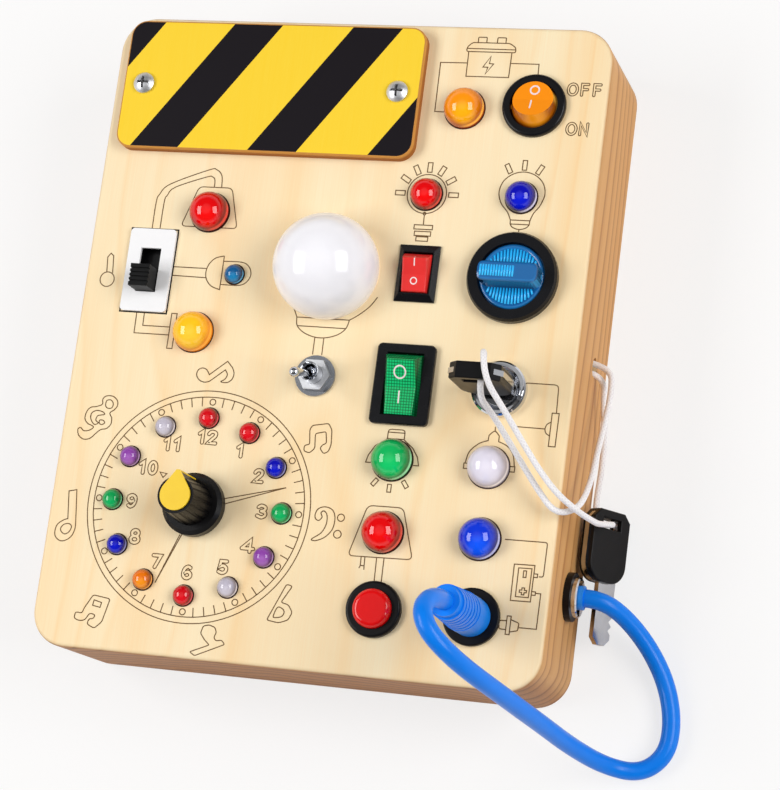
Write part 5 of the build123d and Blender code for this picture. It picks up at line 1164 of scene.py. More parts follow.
        draw([(61.0, -41.7), (58.8, -41.7), (58.8, -43.6), (61.0, -43.6)])
        draw([(75.0, -41.7), (77.2, -41.7), (77.2, -43.6), (75.0, -43.6)])
        draw(
            smooth([(59.2, -41.7), (60.2, -37.6), (63.2, -34.5), (66.5, -33.1)])
            + smooth([(66.6, -31.2), (68.5, -29.6), (70.3, -31.2)])
            + smooth([(70.3, -33.2), (73.6, -34.6), (76.0, -37.4), (77.0, -41.7)])
        )
        draw([(68.5, -28.0), (68.6, -29.6)])

    def music(self) -> None:
        """Draws notes, clefs, rests and a flat round the clock."""
        for points in (
            smooth([
                (-40.2, -18.9), (-42.1, -19.3), (-44.1, -18.6), (-45.4, -16.8), (-45.0, -14.9),
                (-43.5, -14.1), (-41.8, -14.6), (-40.5, -16.4),
            ])
            + [(-34.2, -11.0)]
            + smooth([
                (-32.0, -13.2), (-31.1, -15.3), (-31.6, -17.6), (-33.4, -18.9), (-35.7, -18.7),
                (-34.3, -17.7), (-33.6, -15.9), (-34.6, -14.2),
            ])
            + [(-39.3, -18.2)],
            smooth([
                (-87.9, -42.3), (-88.5, -40.2), (-87.5, -39.5), (-86.0, -40.6), (-83.7, -40.1),
                (-82.6, -38.8), (-85.1, -37.7), (-86.4, -35.9), (-86.1, -33.4), (-84.8, -31.7),
                (-82.5, -31.2), (-80.4, -30.2), (-80.5, -28.3), (-79.2, -27.0), (-76.6, -27.0),
                (-74.7, -28.5), (-74.4, -30.4), (-75.4, -32.0), (-76.9, -33.3), (-75.9, -35.2),
                (-75.9, -37.4), (-77.3, -39.1), (-79.5, -39.7), (-81.2, -41.2), (-83.2, -43.2),
                (-85.8, -43.7),
            ], True),
            smooth([
                (-78.9, -28.8), (-77.3, -28.4), (-76.2, -29.6), (-76.4, -31.2), (-77.8, -31.6),
                (-79.0, -30.7),
            ], True),
            smooth([
                (-84.1, -33.9), (-82.3, -32.7), (-79.9, -33.0), (-78.9, -33.9), (-80.4, -34.3),
                (-81.6, -34.7), (-82.0, -36.3), (-80.9, -37.3), (-82.4, -37.9), (-84.0, -36.1),
            ], True),
            smooth([
                (-80.4, -36.2), (-79.1, -36.2), (-78.4, -37.1), (-79.5, -37.8), (-80.5, -37.3),
            ], True),
            [(-88.2, -63.3), (-85.2, -62.6)]
            + smooth([
                (-83.8, -73.8), (-83.6, -76.8), (-84.5, -79.7), (-86.5, -81.4), (-88.7, -81.8),
                (-90.7, -80.5), (-91.3, -78.4), (-90.7, -75.9), (-88.7, -74.2), (-87.0, -73.5),
            ]),
            smooth([
                (-88.1, -75.7), (-86.2, -75.3), (-85.1, -76.3), (-85.7, -78.2), (-87.2, -79.2),
                (-88.7, -78.5), (-89.2, -77.2),
            ], True),
            rounded([
                (-72.5, -100.3), (-65.8, -101.2), (-67.7, -109.7), (-70.3, -112.3),
                (-73.3, -111.0), (-72.8, -109.0), (-71.1, -108.9), (-70.6, -107.4),
                (-72.9, -107.0), (-74.3, -109.6), (-76.3, -110.1), (-78.6, -109.4),
                (-78.4, -107.0), (-75.8, -107.3), (-75.3, -105.4),
            ], 0.9),
            [(-71.9, -102.1), (-68.9, -102.8), (-69.2, -104.6), (-72.2, -104.1)],
            rounded([
                (-0.1, -90.0), (2.2, -90.5), (-1.3, -96.6), (1.6, -97.2), (3.4, -99.8),
                (2.2, -102.6), (-1.2, -103.9), (-5.7, -103.3),
            ], 0.9),
            smooth([
                (-2.3, -98.5), (-0.4, -98.8), (0.4, -100.0), (-0.3, -101.5), (-2.1, -102.1),
                (-3.4, -101.8),
            ], True),
            rounded([
                (-29.6, -110.2), (-28.9, -107.6), (-26.8, -107.0), (-24.5, -107.7),
                (-23.7, -109.4), (-24.4, -111.3), (-23.5, -112.4), (-21.3, -112.0),
                (-20.0, -113.4), (-30.7, -118.4), (-32.7, -117.2), (-25.7, -114.1),
                (-27.8, -112.4),
            ], 0.6),
            rounded([
                (0.6, -33.9), (1.4, -32.3), (7.4, -31.2), (8.9, -33.5), (9.3, -38.8), (8.6, -41.4),
                (6.9, -42.3), (5.3, -40.4), (6.2, -39.0), (7.5, -38.5), (6.8, -34.2), (2.9, -35.2),
                (3.4, -40.6), (1.6, -42.4), (-0.6, -41.8), (-0.6, -39.7), (1.3, -39.3),
            ], 0.8),
            smooth([
                (6.9, -64.5), (7.7, -62.3), (10.2, -61.3), (13.1, -62.2), (14.4, -65.0),
                (14.0, -69.0), (11.7, -72.0), (8.5, -73.6), (6.8, -73.2), (10.0, -70.7),
                (11.5, -67.4), (11.3, -64.1), (10.0, -62.8), (9.0, -63.6), (9.6, -65.0),
                (8.6, -66.3), (7.4, -65.9),
            ], True),
            circle((16.6, -64.7), 1.3, 20),
            circle((16.1, -70.7), 1.4, 20),
        ):
            self.draw(points, True)


def glyph(mark: str, centre: Point2, size: Point2) -> list[Line]:
    """Returns the strokes of a numeral or capital, in millimetres.

    Args:
        mark: One of the ten digits or of the letters O, F and N.
        centre: Its centre on the board.
        size: Its scale across and its height between the ends of its strokes.

    Returns:
        Each stroke's points and whether it is closed.
    """
    six = smooth([
        (0.5, 0.9), (0.34, 1.0), (0.14, 0.84), (0.05, 0.5), (0.08, 0.16), (0.3, 0.0), (0.52, 0.14),
        (0.54, 0.38), (0.36, 0.56), (0.12, 0.44),
    ])
    shapes: dict[str, list[Line]] = {
        "0": [(circle((0.3, 0.5), 0.24, 20, 0.5), True)],
        "1": [([(0.1, 0.76), (0.34, 1.0), (0.34, 0.0)], False)],
        "2": [(smooth([
            (0.05, 0.78), (0.16, 0.96), (0.34, 1.0), (0.52, 0.88), (0.5, 0.62), (0.3, 0.34),
            (0.05, 0.0),
        ]) + [(0.56, 0.0)], False)],
        "3": [
            (smooth([(0.06, 0.86), (0.26, 1.0), (0.52, 0.88), (0.5, 0.64), (0.26, 0.54)]), False),
            (smooth([(0.26, 0.54), (0.52, 0.44), (0.57, 0.2), (0.34, 0.0), (0.03, 0.12)]), False),
        ],
        "4": [
            ([(0.46, 0.0), (0.46, 1.0), (-0.1, 0.26)], False),
            ([(-0.1, 0.26), (0.68, 0.26)], False),
        ],
        "5": [([(0.54, 1.0), (0.14, 1.0)] + smooth([
            (0.09, 0.52), (0.34, 0.62), (0.54, 0.42), (0.5, 0.12), (0.28, 0.0), (0.04, 0.1),
        ]), False)],
        "6": [(six, False)],
        "7": [([(0.04, 1.0), (0.56, 1.0), (0.22, 0.0)], False)],
        "8": [
            (circle((0.3, 0.78), 0.23, 16, 0.26), True),
            (circle((0.3, 0.24), 0.28, 16, 0.3), True),
        ],
        "9": [([(0.6 - x, 1.0 - y) for x, y in six], False)],
        "O": [(circle((0.36, 0.5), 0.36, 20, 0.5), True)],
        "F": [([
            (0.6, 1.0), (0.12, 1.0), (0.12, 0.0),
        ], False), ([(0.12, 0.52), (0.54, 0.52)], False)],
        "N": [([(0.08, 0.0), (0.08, 1.0), (0.64, 0.0), (0.64, 1.0)], False)],
    }
    return [
        (
            [(centre[0] + (x - 0.3) * size[0], centre[1] + (y - 0.5) * size[1]) for x, y in points],
            closed,
        )
        for points, closed in shapes[mark]
    ]


@dataclass
class BatteryCover:
    """The striped plate, its two screws and the cells behind it.

    Attributes:
        arm: How far the painted shade of a screw's cross recess reaches from its middle, in
            millimetres.
        slot: The width of its arms.
    """

    arm: float = 2.2
    slot: float = 0.82

    def build(self) -> None:
        """Dresses the plate, screws, holder and cells and lays painted shade in the screws' cross
        recesses.
        """
        dress(PrintedPlywood("birch_ply_screen_printed"), "battery_cover_plate")
        dress(PlatedMetal("steel_nickel_satin", "FAFAFC", 0.4), "plate_screws")
        # Dark crosses laid on the screw heads: painted shade of their cross recesses.
        shade_crosses = Strips("plate_screw_recess_painted_shade", lying_on("plate_screws", 0.03))
        low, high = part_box("plate_screws")
        middle, head = (low[1] + high[1]) / 2 / MM, (high[1] - low[1]) / 2 / MM
        for x in (low[0] / MM + head, high[0] / MM - head):
            reach = [self.arm * (i / 4 - 1) for i in range(9)]
            shade_crosses.line([(x + r, middle) for r in reach], self.slot)
            shade_crosses.line([(x, middle + r) for r in reach], self.slot)
        recess_shade = MouldedPlastic("steel_recess_painted_shade", "2C2A2A", "3E3C3C", 0.6, specular=0.2)
        shade_crosses.make(recess_shade, "panel")
        dress(BLACK_NYLON, "battery_holder")
        dress(
            MouldedPlastic("pvc_cell_sleeve_shrunk", "2E7D46", "276B3C", 0.22, coat=0.3),
            "batteries",
        )


@dataclass
class SlideSwitch:
    """The white plate with the ribbed black slider.

    Attributes:
        centre: The plate's centre, in millimetres.
        size: Its width and height.
        gap: How much wider and taller than the plate its pocket is.
        edge_mm: The width of the painted shade round the pocket's edge.
    """

    centre: Point2 = (-70.0, 21.3)
    size: Point2 = (18.0, 31.5)
    gap: float = 0.5
    edge_mm: float = 0.55

    def build(self) -> None:
        """Dresses the switch and draws painted shade round the edge of its pocket."""
        dress(WHITE_ABS, "slide_switch_plate")
        dress(BLACK_NYLON, "slide_switch_body")
        dress(BLACK_RUBBERY, "slide_switch_knob")
        # A dark band round the plate: painted shade in the gap of its pocket.
        pocket = Strips("slide_switch_pocket_painted_shade", flat_at(FACE_MM + LINE_LIFT_MM))
        wide, tall = self.size
        pocket.line(bar(self.centre, wide + self.gap, tall + self.gap), self.edge_mm, True)
        pocket.make(BLACK_RUBBERY, "panel")


@dataclass
class Rocker:
    """A rocker switch: a black frame and a button with its two marks.

    Attributes:
        name: The start of its nodes' names.
        body: The body that its button rides on.
        finish: The button's finish.
        ring: The round mark's centre and radius, in millimetres.
        stroke: The line mark's two ends.
        ink_mm: The marks' width.
    """

    name: str
    body: str
    finish: Finish
    ring: tuple[float, float, float]
    stroke: tuple[Point2, Point2]
    ink_mm: float = 0.55

    def build(self) -> None:
        """Dresses the frame and button and prints the marks on the button."""
        dress(BLACK_ABS_GLOSS, f"{self.name}_bezel")
        dress(self.finish, f"{self.name}_button")
        marks = Strips(f"{self.name}_marks", lying_on(f"{self.name}_button", 0.06))
        marks.line(circle(self.ring[:2], self.ring[2], 28), self.ink_mm, True)
        start, end = self.stroke
        steps = [
            (start[0] + (end[0] - start[0]) * i / 6, start[1] + (end[1] - start[1]) * i / 6)
            for i in range(7)
        ]
        marks.line(steps, self.ink_mm, capped=True)
        marks.make(MARK_INK, self.body)


MARK_INK = MouldedPlastic("ink_white_pad_printed", "FBEDEC", "F3E4E4", 0.45)


@dataclass
class RotarySwitch:
    """The round switch: a clear blue knob with a grip bar, in a black collar.

    Two windows of upright ribs show beside the bar, and a short ribbed strip is let
    into one half of the bar's top.

    Attributes:
        centre: The switch's centre, in millimetres.
        bar_top: The height of the bar's top.
        low: The height of the knob's floor between the collar and the bar.
        high: The height of the skirt's rim. The windows' ribs end just above it.
        outer: The radius of the knob's skirt.
        window: The radius of the ribbed windows.
        bar_half: Half the bar's width with its clearance to the ribs.
        bar: The bar's half length and half width at its foot, then at its top.
        rib_pitch: The distance between two ribs of a window.
        rib_least: The length below which a rib is left out.
        fan: Where a rib starts and ends along x, as shares of its place.
        rib: The depth of its foot below the rim, its width as a share of the pitch
            and how far it rises.
        strip: The strip's two ends along x, from the centre.
        strip_half: Half the strip's width.
        strip_pitch: The distance between two of the strip's ribs.
        strip_rib: The same three of a strip's rib, with its foot below the bar's top.
    """

    centre: Point2 = (68.4, 25.8)
    bar_top: float = 60.5
    low: float = 50.5
    high: float = 53.4
    outer: float = 11.9
    window: float = 10.1
    bar_half: float = 4.3
    bar: tuple[float, float, float, float] = (11.3, 4.1, 10.9, 3.4)
    rib_pitch: float = 1.15
    rib_least: float = 0.8
    fan: Point2 = (0.95, 1.03)
    rib: Point3 = (0.8, 0.9, 0.9)
    strip: Point2 = (-9.6, 2.6)
    strip_half: float = 2.0
    strip_pitch: float = 0.98
    strip_rib: Point3 = (0.2, 1.04, 0.6)

    def skirt(self) -> bpy.types.Object:
        """Turns the knob's skirt and its shallow floor as one ring and returns it."""
        profile = [
            (self.outer, self.low), (self.outer, self.high - 0.5), (self.outer - 0.5, self.high),
            (self.window + 0.5, self.high + 0.1), (self.window + 0.1, self.high - 0.6),
            (0.3, self.high - 0.8), (0.3, self.low),
        ]
        rings = [[(x, y, z) for x, y in circle(self.centre, radius, 72)] for radius, z in profile]
        shaped = bmesh.new()
        join_rings(shaped, rings, hollow=True)
        return mesh_piece("rotary_switch_skirt", shaped)

    def grip(self) -> bpy.types.Object:
        """Builds the clear skin of the grip bar, which narrows upwards, and returns it."""
        long_low, wide_low, long_high, wide_high = self.bar
        rings = []
        for long, wide, corner, z in (
            (long_low, wide_low, 2.6, self.low),
            (long_high + 0.1, wide_high + 0.15, 2.4, self.bar_top - 0.6),
            (long_high - 0.15, wide_high - 0.15, 2.2, self.bar_top - 0.05),
            (long_high - 0.7, wide_high - 0.7, 1.8, self.bar_top + 0.1),
        ):
            outline = rounded([(-long, -wide), (long, -wide), (long, wide), (-long, wide)], corner)
            rings.append([(self.centre[0] + x, self.centre[1] + y, z) for x, y in outline])
        shaped = bmesh.new()
        join_rings(shaped, rings)
        return mesh_piece("rotary_switch_grip", shaped, False)

    def windows(self) -> bpy.types.Object:
        """Builds the upright ribs above and below the bar, which fan out a little."""
        shaped = bmesh.new()
        sunk, wide, rise = self.rib
        count = int(self.window / self.rib_pitch)
        for i in range(-count, count + 1):
            x = i * self.rib_pitch
            reach = math.sqrt(max(self.window**2 - x * x, 0.0))
            if reach < self.bar_half + self.rib_least:
                continue
            for side in (1.0, -1.0):
                add_rib(
                    shaped,
                    (self.centre[0] + x * self.fan[0], self.centre[1] + side * self.bar_half),
                    (self.centre[0] + x * self.fan[1], self.centre[1] + side * reach),
                    (self.high - sunk, self.rib_pitch * wide, rise),
                )
        return mesh_piece("rotary_switch_ribs", shaped)

    def strip_ribs(self) -> bpy.types.Object:
        """Builds the short ribs across the strip in the bar's top."""
        shaped = bmesh.new()
        sunk, wide, rise = self.strip_rib
        count = int((self.strip[1] - self.strip[0]) / self.strip_pitch)
        for i in range(count + 1):
            x = self.centre[0] + self.strip[0] + i * self.strip_pitch
            add_rib(
                shaped,
                (x, self.centre[1] - self.strip_half),
                (x, self.centre[1] + self.strip_half),
                (self.bar_top - sunk, self.strip_pitch * wide, rise),
            )
        return mesh_piece("rotary_switch_strip", shaped)

    def build(self) -> None:
        """Dresses the collar and knob and builds the skirt, the windows and the strip."""
        dress(BLACK_ABS_GLOSS, "rotary_switch_bezel")
        tinted = CastEpoxy(
            "polycarbonate_blue_moulded", "155C98", "06203E", "1E74B4", "4FA8E0", 0.14, 0.6
        )
        dress(tinted, "rotary_switch_knob")
        ribbed = CastEpoxy(
            "polycarbonate_blue_prismatic", "26B4F4", "1474BC", "44CCFF", "6FD8FA", 0.16, 0.5
        )
        for piece, finish in (
            (self.skirt(), tinted),
            (self.grip(), tinted),
            (self.windows(), ribbed),
            (self.strip_ribs(), ribbed),
        ):
            piece.data.materials.append(finish.material())
            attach(piece, "rotary_knob")


def join_rings(
    shaped: bmesh.types.BMesh, rings: Sequence[Sequence[Point3]], hollow: bool = False
) -> None:
    """Joins rings of points into a solid.

    Args:
        shaped: The geometry that takes it.
        rings: Each ring's points, in millimetres.
        hollow: Whether the last ring joins the first. If not, both ends are closed.
    """
    made = [[shaped.verts.new([c * MM for c in point]) for point in ring] for ring in rings]
    for one, other in zip(made, made[1:] + made[:1] if hollow else made[1:]):
        for i in range(len(one)):
            j = (i + 1) % len(one)
            shaped.faces.new((one[i], one[j], other[j], other[i]))
    if not hollow:
        shaped.faces.new(made[0][::-1])
        shaped.faces.new(made[-1])


RIB_TAPER = 0.82
"""How wide a rib is where it starts, as a share of its width where it ends."""


def add_rib(
    shaped: bmesh.types.BMesh, start: Point2, end: Point2, size: tuple[float, float, float]
) -> None:
    """Adds one straight rib with a round back.

    Args:
        shaped: The geometry that takes it.
        start: One end of its middle line, in millimetres.
        end: The other end.
        size: The height that it stands at, its width and how far it rises.
    """
    foot, wide, rise = size
    way = (Vector(end) - Vector(start)).normalized()
    across = Vector((-way.y, way.x))
    rings = []
    for at, share in ((start, RIB_TAPER), (end, 1.0)):
        ring = []
        for t in (math.pi * i / 6 for i in range(7)):
            p = Vector(at) + across * (wide / 2 * math.cos(t) * share)
            ring.append((p.x, p.y, foot + rise * math.sin(t)))
        rings.append(ring)
    join_rings(shaped, rings)


def mesh_piece(
    name: str, shaped: bmesh.types.BMesh, smooth_faces: bool = True
) -> bpy.types.Object:
    """Turns built geometry into a piece of the scene.

    Args:
        name: The piece's name.
        shaped: The geometry, which is freed.
        smooth_faces: Whether its faces are shaded smooth.

    Returns:
        The new piece.
    """
    bmesh.ops.recalc_face_normals(shaped, faces=shaped.faces)
    for face in shaped.faces:
        face.smooth = smooth_faces
    mesh = bpy.data.meshes.new(name)
    shaped.to_mesh(mesh)
    shaped.free()
    return add_piece(name, mesh)


@dataclass
class ToggleSwitch:
    """The chromed toggle with its washer, hex nut and ball-ended lever.

    Attributes:
        centre: The switch's centre, in millimetres.
    """

    centre: Point2 = (0.0, -14.3)

    def build(self) -> None:
        """Dresses the toggle."""
        dress(CHROME, "toggle_lever")
        dress(PlatedMetal("brass_nut_nickel_satin", "FAFBFD", 0.36), "toggle_nut")
        dress(
            PlatedMetal("brass_turned_chromium_plated", "EEF0F4", 0.08, axis=self.centre),
            "toggle_body",
        )
        # The washer is given a darker colour than its nickel has, as painted shade, so that the
        # bright nut stands out on it.
        dress(PlatedMetal("steel_washer_nickel_painted_shade", "92969C", 0.2), "toggle_washer")


@dataclass
class KeySwitch:
    """The lock, the key in it and the spare on the cord.

    Attributes:
        centre: The lock's centre, in millimetres.
    """

    centre: Point2 = (68.6, -14.8)

    def build(self) -> None:
        """Dresses the lock and both keys."""
        turned = PlatedMetal(
            "brass_lock_chromium_plated", "F0F1F4", 0.06, axis=self.centre, ring_mm=2.4
        )
        dress(turned, "key_switch_body")
        dress(NICKEL, "key_switch_nut", "key_switch_rotor", "front_key_blade", "spare_key_blade")
        dress(BLACK_NYLON, "front_key_head", "spare_key_head")


@dataclass
class PushButton:
    """The red push button in its black collar."""

    def build(self) -> None:
        """Dresses the button and the spring under it."""
        dress(BLACK_NYLON, "push_button_body")
        glossy_red = MouldedPlastic(
            "abs_red_polished_mould", "F2080C", "E8060A", 0.16, coat=0.3, specular=0.3
        )
        dress(glossy_red, "push_button_cap")
        dress(STEEL, "push_button_spring")


@dataclass
class Clock:
    """The twelve lamps, the board behind them and the knob that picks one."""

    def build(self) -> None:
        """Dresses the lamps, the board and the selector."""
        dress(EtchedCircuit("glass_epoxy_solder_masked"), "clock_board")
        dress(BLACK_NYLON, "selector_body")
        dress(NICKEL, "selector_nut")
        dress(PlatedMetal("aluminium_turned", "C9CCD1", 0.25), "selector_shaft")
        fluted = MouldedPlastic("abs_black_knob_moulded", "0A090A", "100F10", 0.3, specular=0.2)
        dress(fluted, "selector_knob")
        dress(MouldedPlastic("abs_yellow_cap_moulded", "FCD527", "F5CB1E", 0.35), "selector_cap")
        for lens, colour in (
            ("clock red", "red"), ("navy", "blue"), ("clock green", "green"),
            ("purple", "purple"), ("clock white", "white"),
        ):
            dress(LENS[lens], f"clock_lamps_{colour}")
        dress(LENS["orange"], "clock_lamp_orange")


LENS: dict[str, CastEpoxy] = {
    "red": CastEpoxy("epoxy_red_cast", "DC0006", "480002", "F60606", "DC3C30"),
    "blue": CastEpoxyBatches(
        "epoxy_blue_cast", "0A34D0", "03083C", "145CFA", "B4B8EE",
        upper=CastEpoxy("epoxy_blue_upper", "0608AC", "020228", "081CDC", "C8C6EC"),
        left=CastEpoxy("epoxy_blue_left", "12588E", "020C22", "2288C0", "5AA8D8"),
    ),
    "navy": CastEpoxy("epoxy_dark_blue_cast", "0608A8", "02021E", "0818D0", "8C8CC8"),
    "yellow": CastEpoxy("epoxy_yellow_cast", "FFC01C", "D67806", "FFCE3C", "FFAA30"),
    "amber": CastEpoxy("epoxy_amber_cast", "FA920A", "9A3C02", "FFB60E", "FFB030"),
    "green": CastEpoxy("epoxy_green_cast", "10AE58", "033A1C", "12CC6C", "8ADCA4"),
    "white": CastEpoxy("epoxy_milky_cast", "DDD8E6", "A29AA8", "E8E2EE", "E8E2E8", 0.16, 0.8),
    "purple": CastEpoxy("epoxy_purple_cast", "8A44A2", "2E0E38", "A868BC", "B48CC0"),
    "orange": CastEpoxy("epoxy_orange_cast", "E4720C", "5A2002", "FA9C1E", "F4A850"),
    "clock white": CastEpoxy(
        "epoxy_small_milky_cast", "BAB4C2", "56525E", "D2CCD8", "DCD6DE", 0.16, 0.8
    ),
    "clock red": CastEpoxy("epoxy_small_red_cast", "CC0816", "280103", "E41020", "D84A54"),
    "clock green": CastEpoxy("epoxy_small_green_cast", "0C9C50", "022814", "10B864", "6ACC92"),
}


@dataclass
class SingleLamps:
    """The ten domes that stand alone and the frosted globe.

    Attributes:
        holes: Each dome's centre and radius, in millimetres.
        gap: How far the dark ring of its hole, scorch and painted shade, shows round a dome.
        clock_holes: How many lamps the clock has.
        clock_at: The middle of their circle.
        clock_radius: Its radius.
        clock_dome: The radius of a clock lamp.
    """

    holes: tuple[tuple[float, float, float], ...] = (
        (-49.4, 44.7, 7.4), (32.7, -68.7, 7.4), (67.9, -68.1, 7.4), (-48.9, -1.0, 7.4),
        (42.6, 88.2, 7.4), (32.7, -42.7, 7.4), (67.9, -42.6, 7.4), (32.5, 55.3, 5.8),
        (67.7, 55.8, 5.8), (-36.4, 21.6, 3.6),
    )
    gap: float = 0.4
    clock_holes: int = 12
    clock_at: Point2 = (-38.1, -65.0)
    clock_radius: float = 32.5
    clock_dome: float = 3.7

    def build(self) -> None:
        """Dresses each lamp and draws a dark ring round its hole: the scorched cut edge with
        painted shade in the gap.
        """
        for colour in ("red", "blue"):
            dress(LENS[colour], f"lamps_{colour}")
        for colour in ("yellow", "amber", "green", "white"):
            dress(LENS[colour], f"lamp_{colour}")
        # The opal globe is given a painted glow, as emission.
        opal = MouldedPlastic(
            "polycarbonate_opal_blown", "FBFAFF", "F6F5FB", 0.16, 1.2, 0.004, 0.4, shine=0.07
        )
        dress(opal, "globe_lamp")
        dress(WHITE_ABS, "globe_holder")
        # Dark rings round the domes: partly the holes' scorched edges, partly painted shade in the
        # gap round each dome.
        edges = Strips("lamp_hole_scorch_and_painted_shade", flat_at(FACE_MM + LINE_LIFT_MM))
        for x, y, radius in self.holes:
            edges.line(circle((x, y), radius), 2 * self.gap, True)
        for place in circle(self.clock_at, self.clock_radius, self.clock_holes):
            edges.line(circle(place, self.clock_dome, 32), 2 * self.gap, True)
        edges.make(HOLE_SCORCH_AND_SHADE, "panel")


@dataclass
class PatchSocket:
    """The blue plug, its socket on the face and the cable's gland on the side."""

    def build(self) -> None:
        """Dresses the plug, socket and gland."""
        dress(BLACK_NYLON, "front_socket")
        for node, finish in (
            ("cable_plug", ("pvc_blue_overmoulded", "0E8AFA", "0C80F0", 0.36, 0.25)),
            ("cable_collar", ("pvc_pale_blue_moulded", "2E8EE8", "2886E0", 0.3, 0.3)),
        ):
            dress(MouldedPlastic(*finish[:4], specular=finish[4]), node)
        dress(BLACK_NYLON, "side_gland")
        dress(CHROME, "gland_nut")
        dress(BRASS, "switch_terminals")


# ---------------------------------------------------------------------------------------
# Cords
# ---------------------------------------------------------------------------------------
@dataclass
class Cord:
    """A free cord that follows its own route.

    Attributes:
        name: The piece's name, which is also its node's with an ending.
        node: The CAD node that it stands for.
        route: Its control points, in millimetres.
        diameter: Its diameter, in millimetres.
        length: Its real length, in millimetres.
        finish: Its finish.
        stiffness: How stiff it is. Not used.
        pieces: The pieces that sit on it. Not used.
        pulled: The body at its far end and the places, in millimetres, where the cord goes over
            from the panel to it. Where it is given, the cord becomes a mesh on no body; its parts
            are not used.
    """

    name: str
    node: str
    route: Sequence[Point3]
    diameter: float
    length: float
    finish: Finish
    stiffness: str
    pieces: Sequence[str]
    pulled: Optional[tuple[str, Point3, Point3]] = None

    def as_tube(self, piece: bpy.types.Object) -> tuple[bpy.types.Object, list[Point3]]:
        """Turns the curve into a mesh.

        Args:
            piece: The curve, which is removed.

        Returns:
            The mesh piece and the points of its centreline.
        """
        tube = bpy.data.meshes.new_from_object(piece)
        piece.data.bevel_depth = 0.0
        bpy.context.view_layer.update()
        line = bpy.data.meshes.new_from_object(piece)
        path = [tuple(corner.co) for corner in line.vertices]
        bpy.data.objects.remove(piece)
        bpy.data.meshes.remove(line)
        return add_piece(self.name, tube), path

    def build(self) -> None:
        curve = bpy.data.curves.new(self.name, "CURVE")
        curve.dimensions = "3D"
        spline = curve.splines.new("NURBS")
        spline.points.add(len(self.route) - 1)
        for point, place in zip(spline.points, self.route):
            point.co = (place[0] * MM, place[1] * MM, place[2] * MM, 1.0)
        spline.order_u = 3
        spline.use_endpoint_u = True
        spline.resolution_u = 10
        curve.resolution_u = 10
        curve.bevel_depth = self.diameter / 2 * MM
        curve.bevel_resolution = 5
        curve.use_fill_caps = True
        piece = add_piece(self.name, curve)
        curve.materials.append(self.finish.material())
        path = None
        if self.pulled:
            piece, path = self.as_tube(piece)
            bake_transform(piece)
        else:
            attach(piece, "panel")
        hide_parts(self.node)
        LOG.info("%s: %.0f mm long", self.name, self.length)


CABLE_ROUTE: list[Point3] = [
    (101, -81.6, 22.3), (107.5, -81.6, 22.3), (115.5, -86.5, 14.8), (123.5, -95.5, 7.8),
    (130, -107, 3.7), (133.5, -120, 3.45), (132.5, -132, 3.5), (124, -139.3, 3.6),
    (112, -138.2, 8.5), (102.8, -134, 25), (97, -129.6, 45), (92.2, -126, 66),
    (87.8, -122.6, 84), (82.8, -119.2, 98), (77, -114.7, 107.5), (70.3, -108.2, 112),
    (67, -100.8, 110), (68.5, -95.5, 101), (68.5, -95.5, 88),
]
KEY_CORD_ROUTE: list[Point3] = [
    (91, 3.75, 22.3), (101.6, 2.4, 23.3), (103, -8.5, 26), (102.4, -21, 29.5),
    (102, -33, 33.9), (102, -44.6, 39.4), (100.9, -54.4, 47.6), (94.9, -58.2, 56.2),
    (88.1, -50.5, 56.8), (81.4, -41.6, 57.8), (75.4, -33.1, 60.8), (70.6, -26.3, 66),
    (67.6, -22.4, 74.9), (68.3, -8.4, 75.2), (69.5, -8.2, 82.9), (71.5, -18.6, 82.3),
    (76.8, -26.4, 73.6), (82.6, -35.4, 66.6), (88.8, -44.2, 62.6), (95.6, -51.8, 60.6),
    (102.6, -56.6, 54.4), (105.6, -57.4, 41.6), (104.6, -55.8, 28), (107.9, -53, 13.5),
    (99.2, -52.8, 8), (97.4, -45, 5.4), (98.6, -33, 7.2), (99.3, -21.5, 11.6),
    (98.8, -10.5, 17.2), (98.6, -0.3, 22), (91, 0, 22.3),
]


def lay_cords() -> None:
    """Builds the patch cable and the keys' cord."""
    Cord(
        "patch_cable_sheath", "patch_cable", CABLE_ROUTE, 6.5, 242.9,
        MouldedPlastic("pvc_blue_extruded", "0084F8", "007CF0", 0.3, coat=0.06, specular=0.25),
        "medium", ("cable_plug",), ("plug", (91.0, -124.4, 67.6), (72.0, -99.0, 93.0)),
    ).build()
    Cord(
        "key_cord_braid", "key_cord", KEY_CORD_ROUTE, 2.2, 330.9,
        BraidedPolyester("polyester_braided"), "limp",
        ("spare_key_blade", "spare_key_head"),
    ).build()


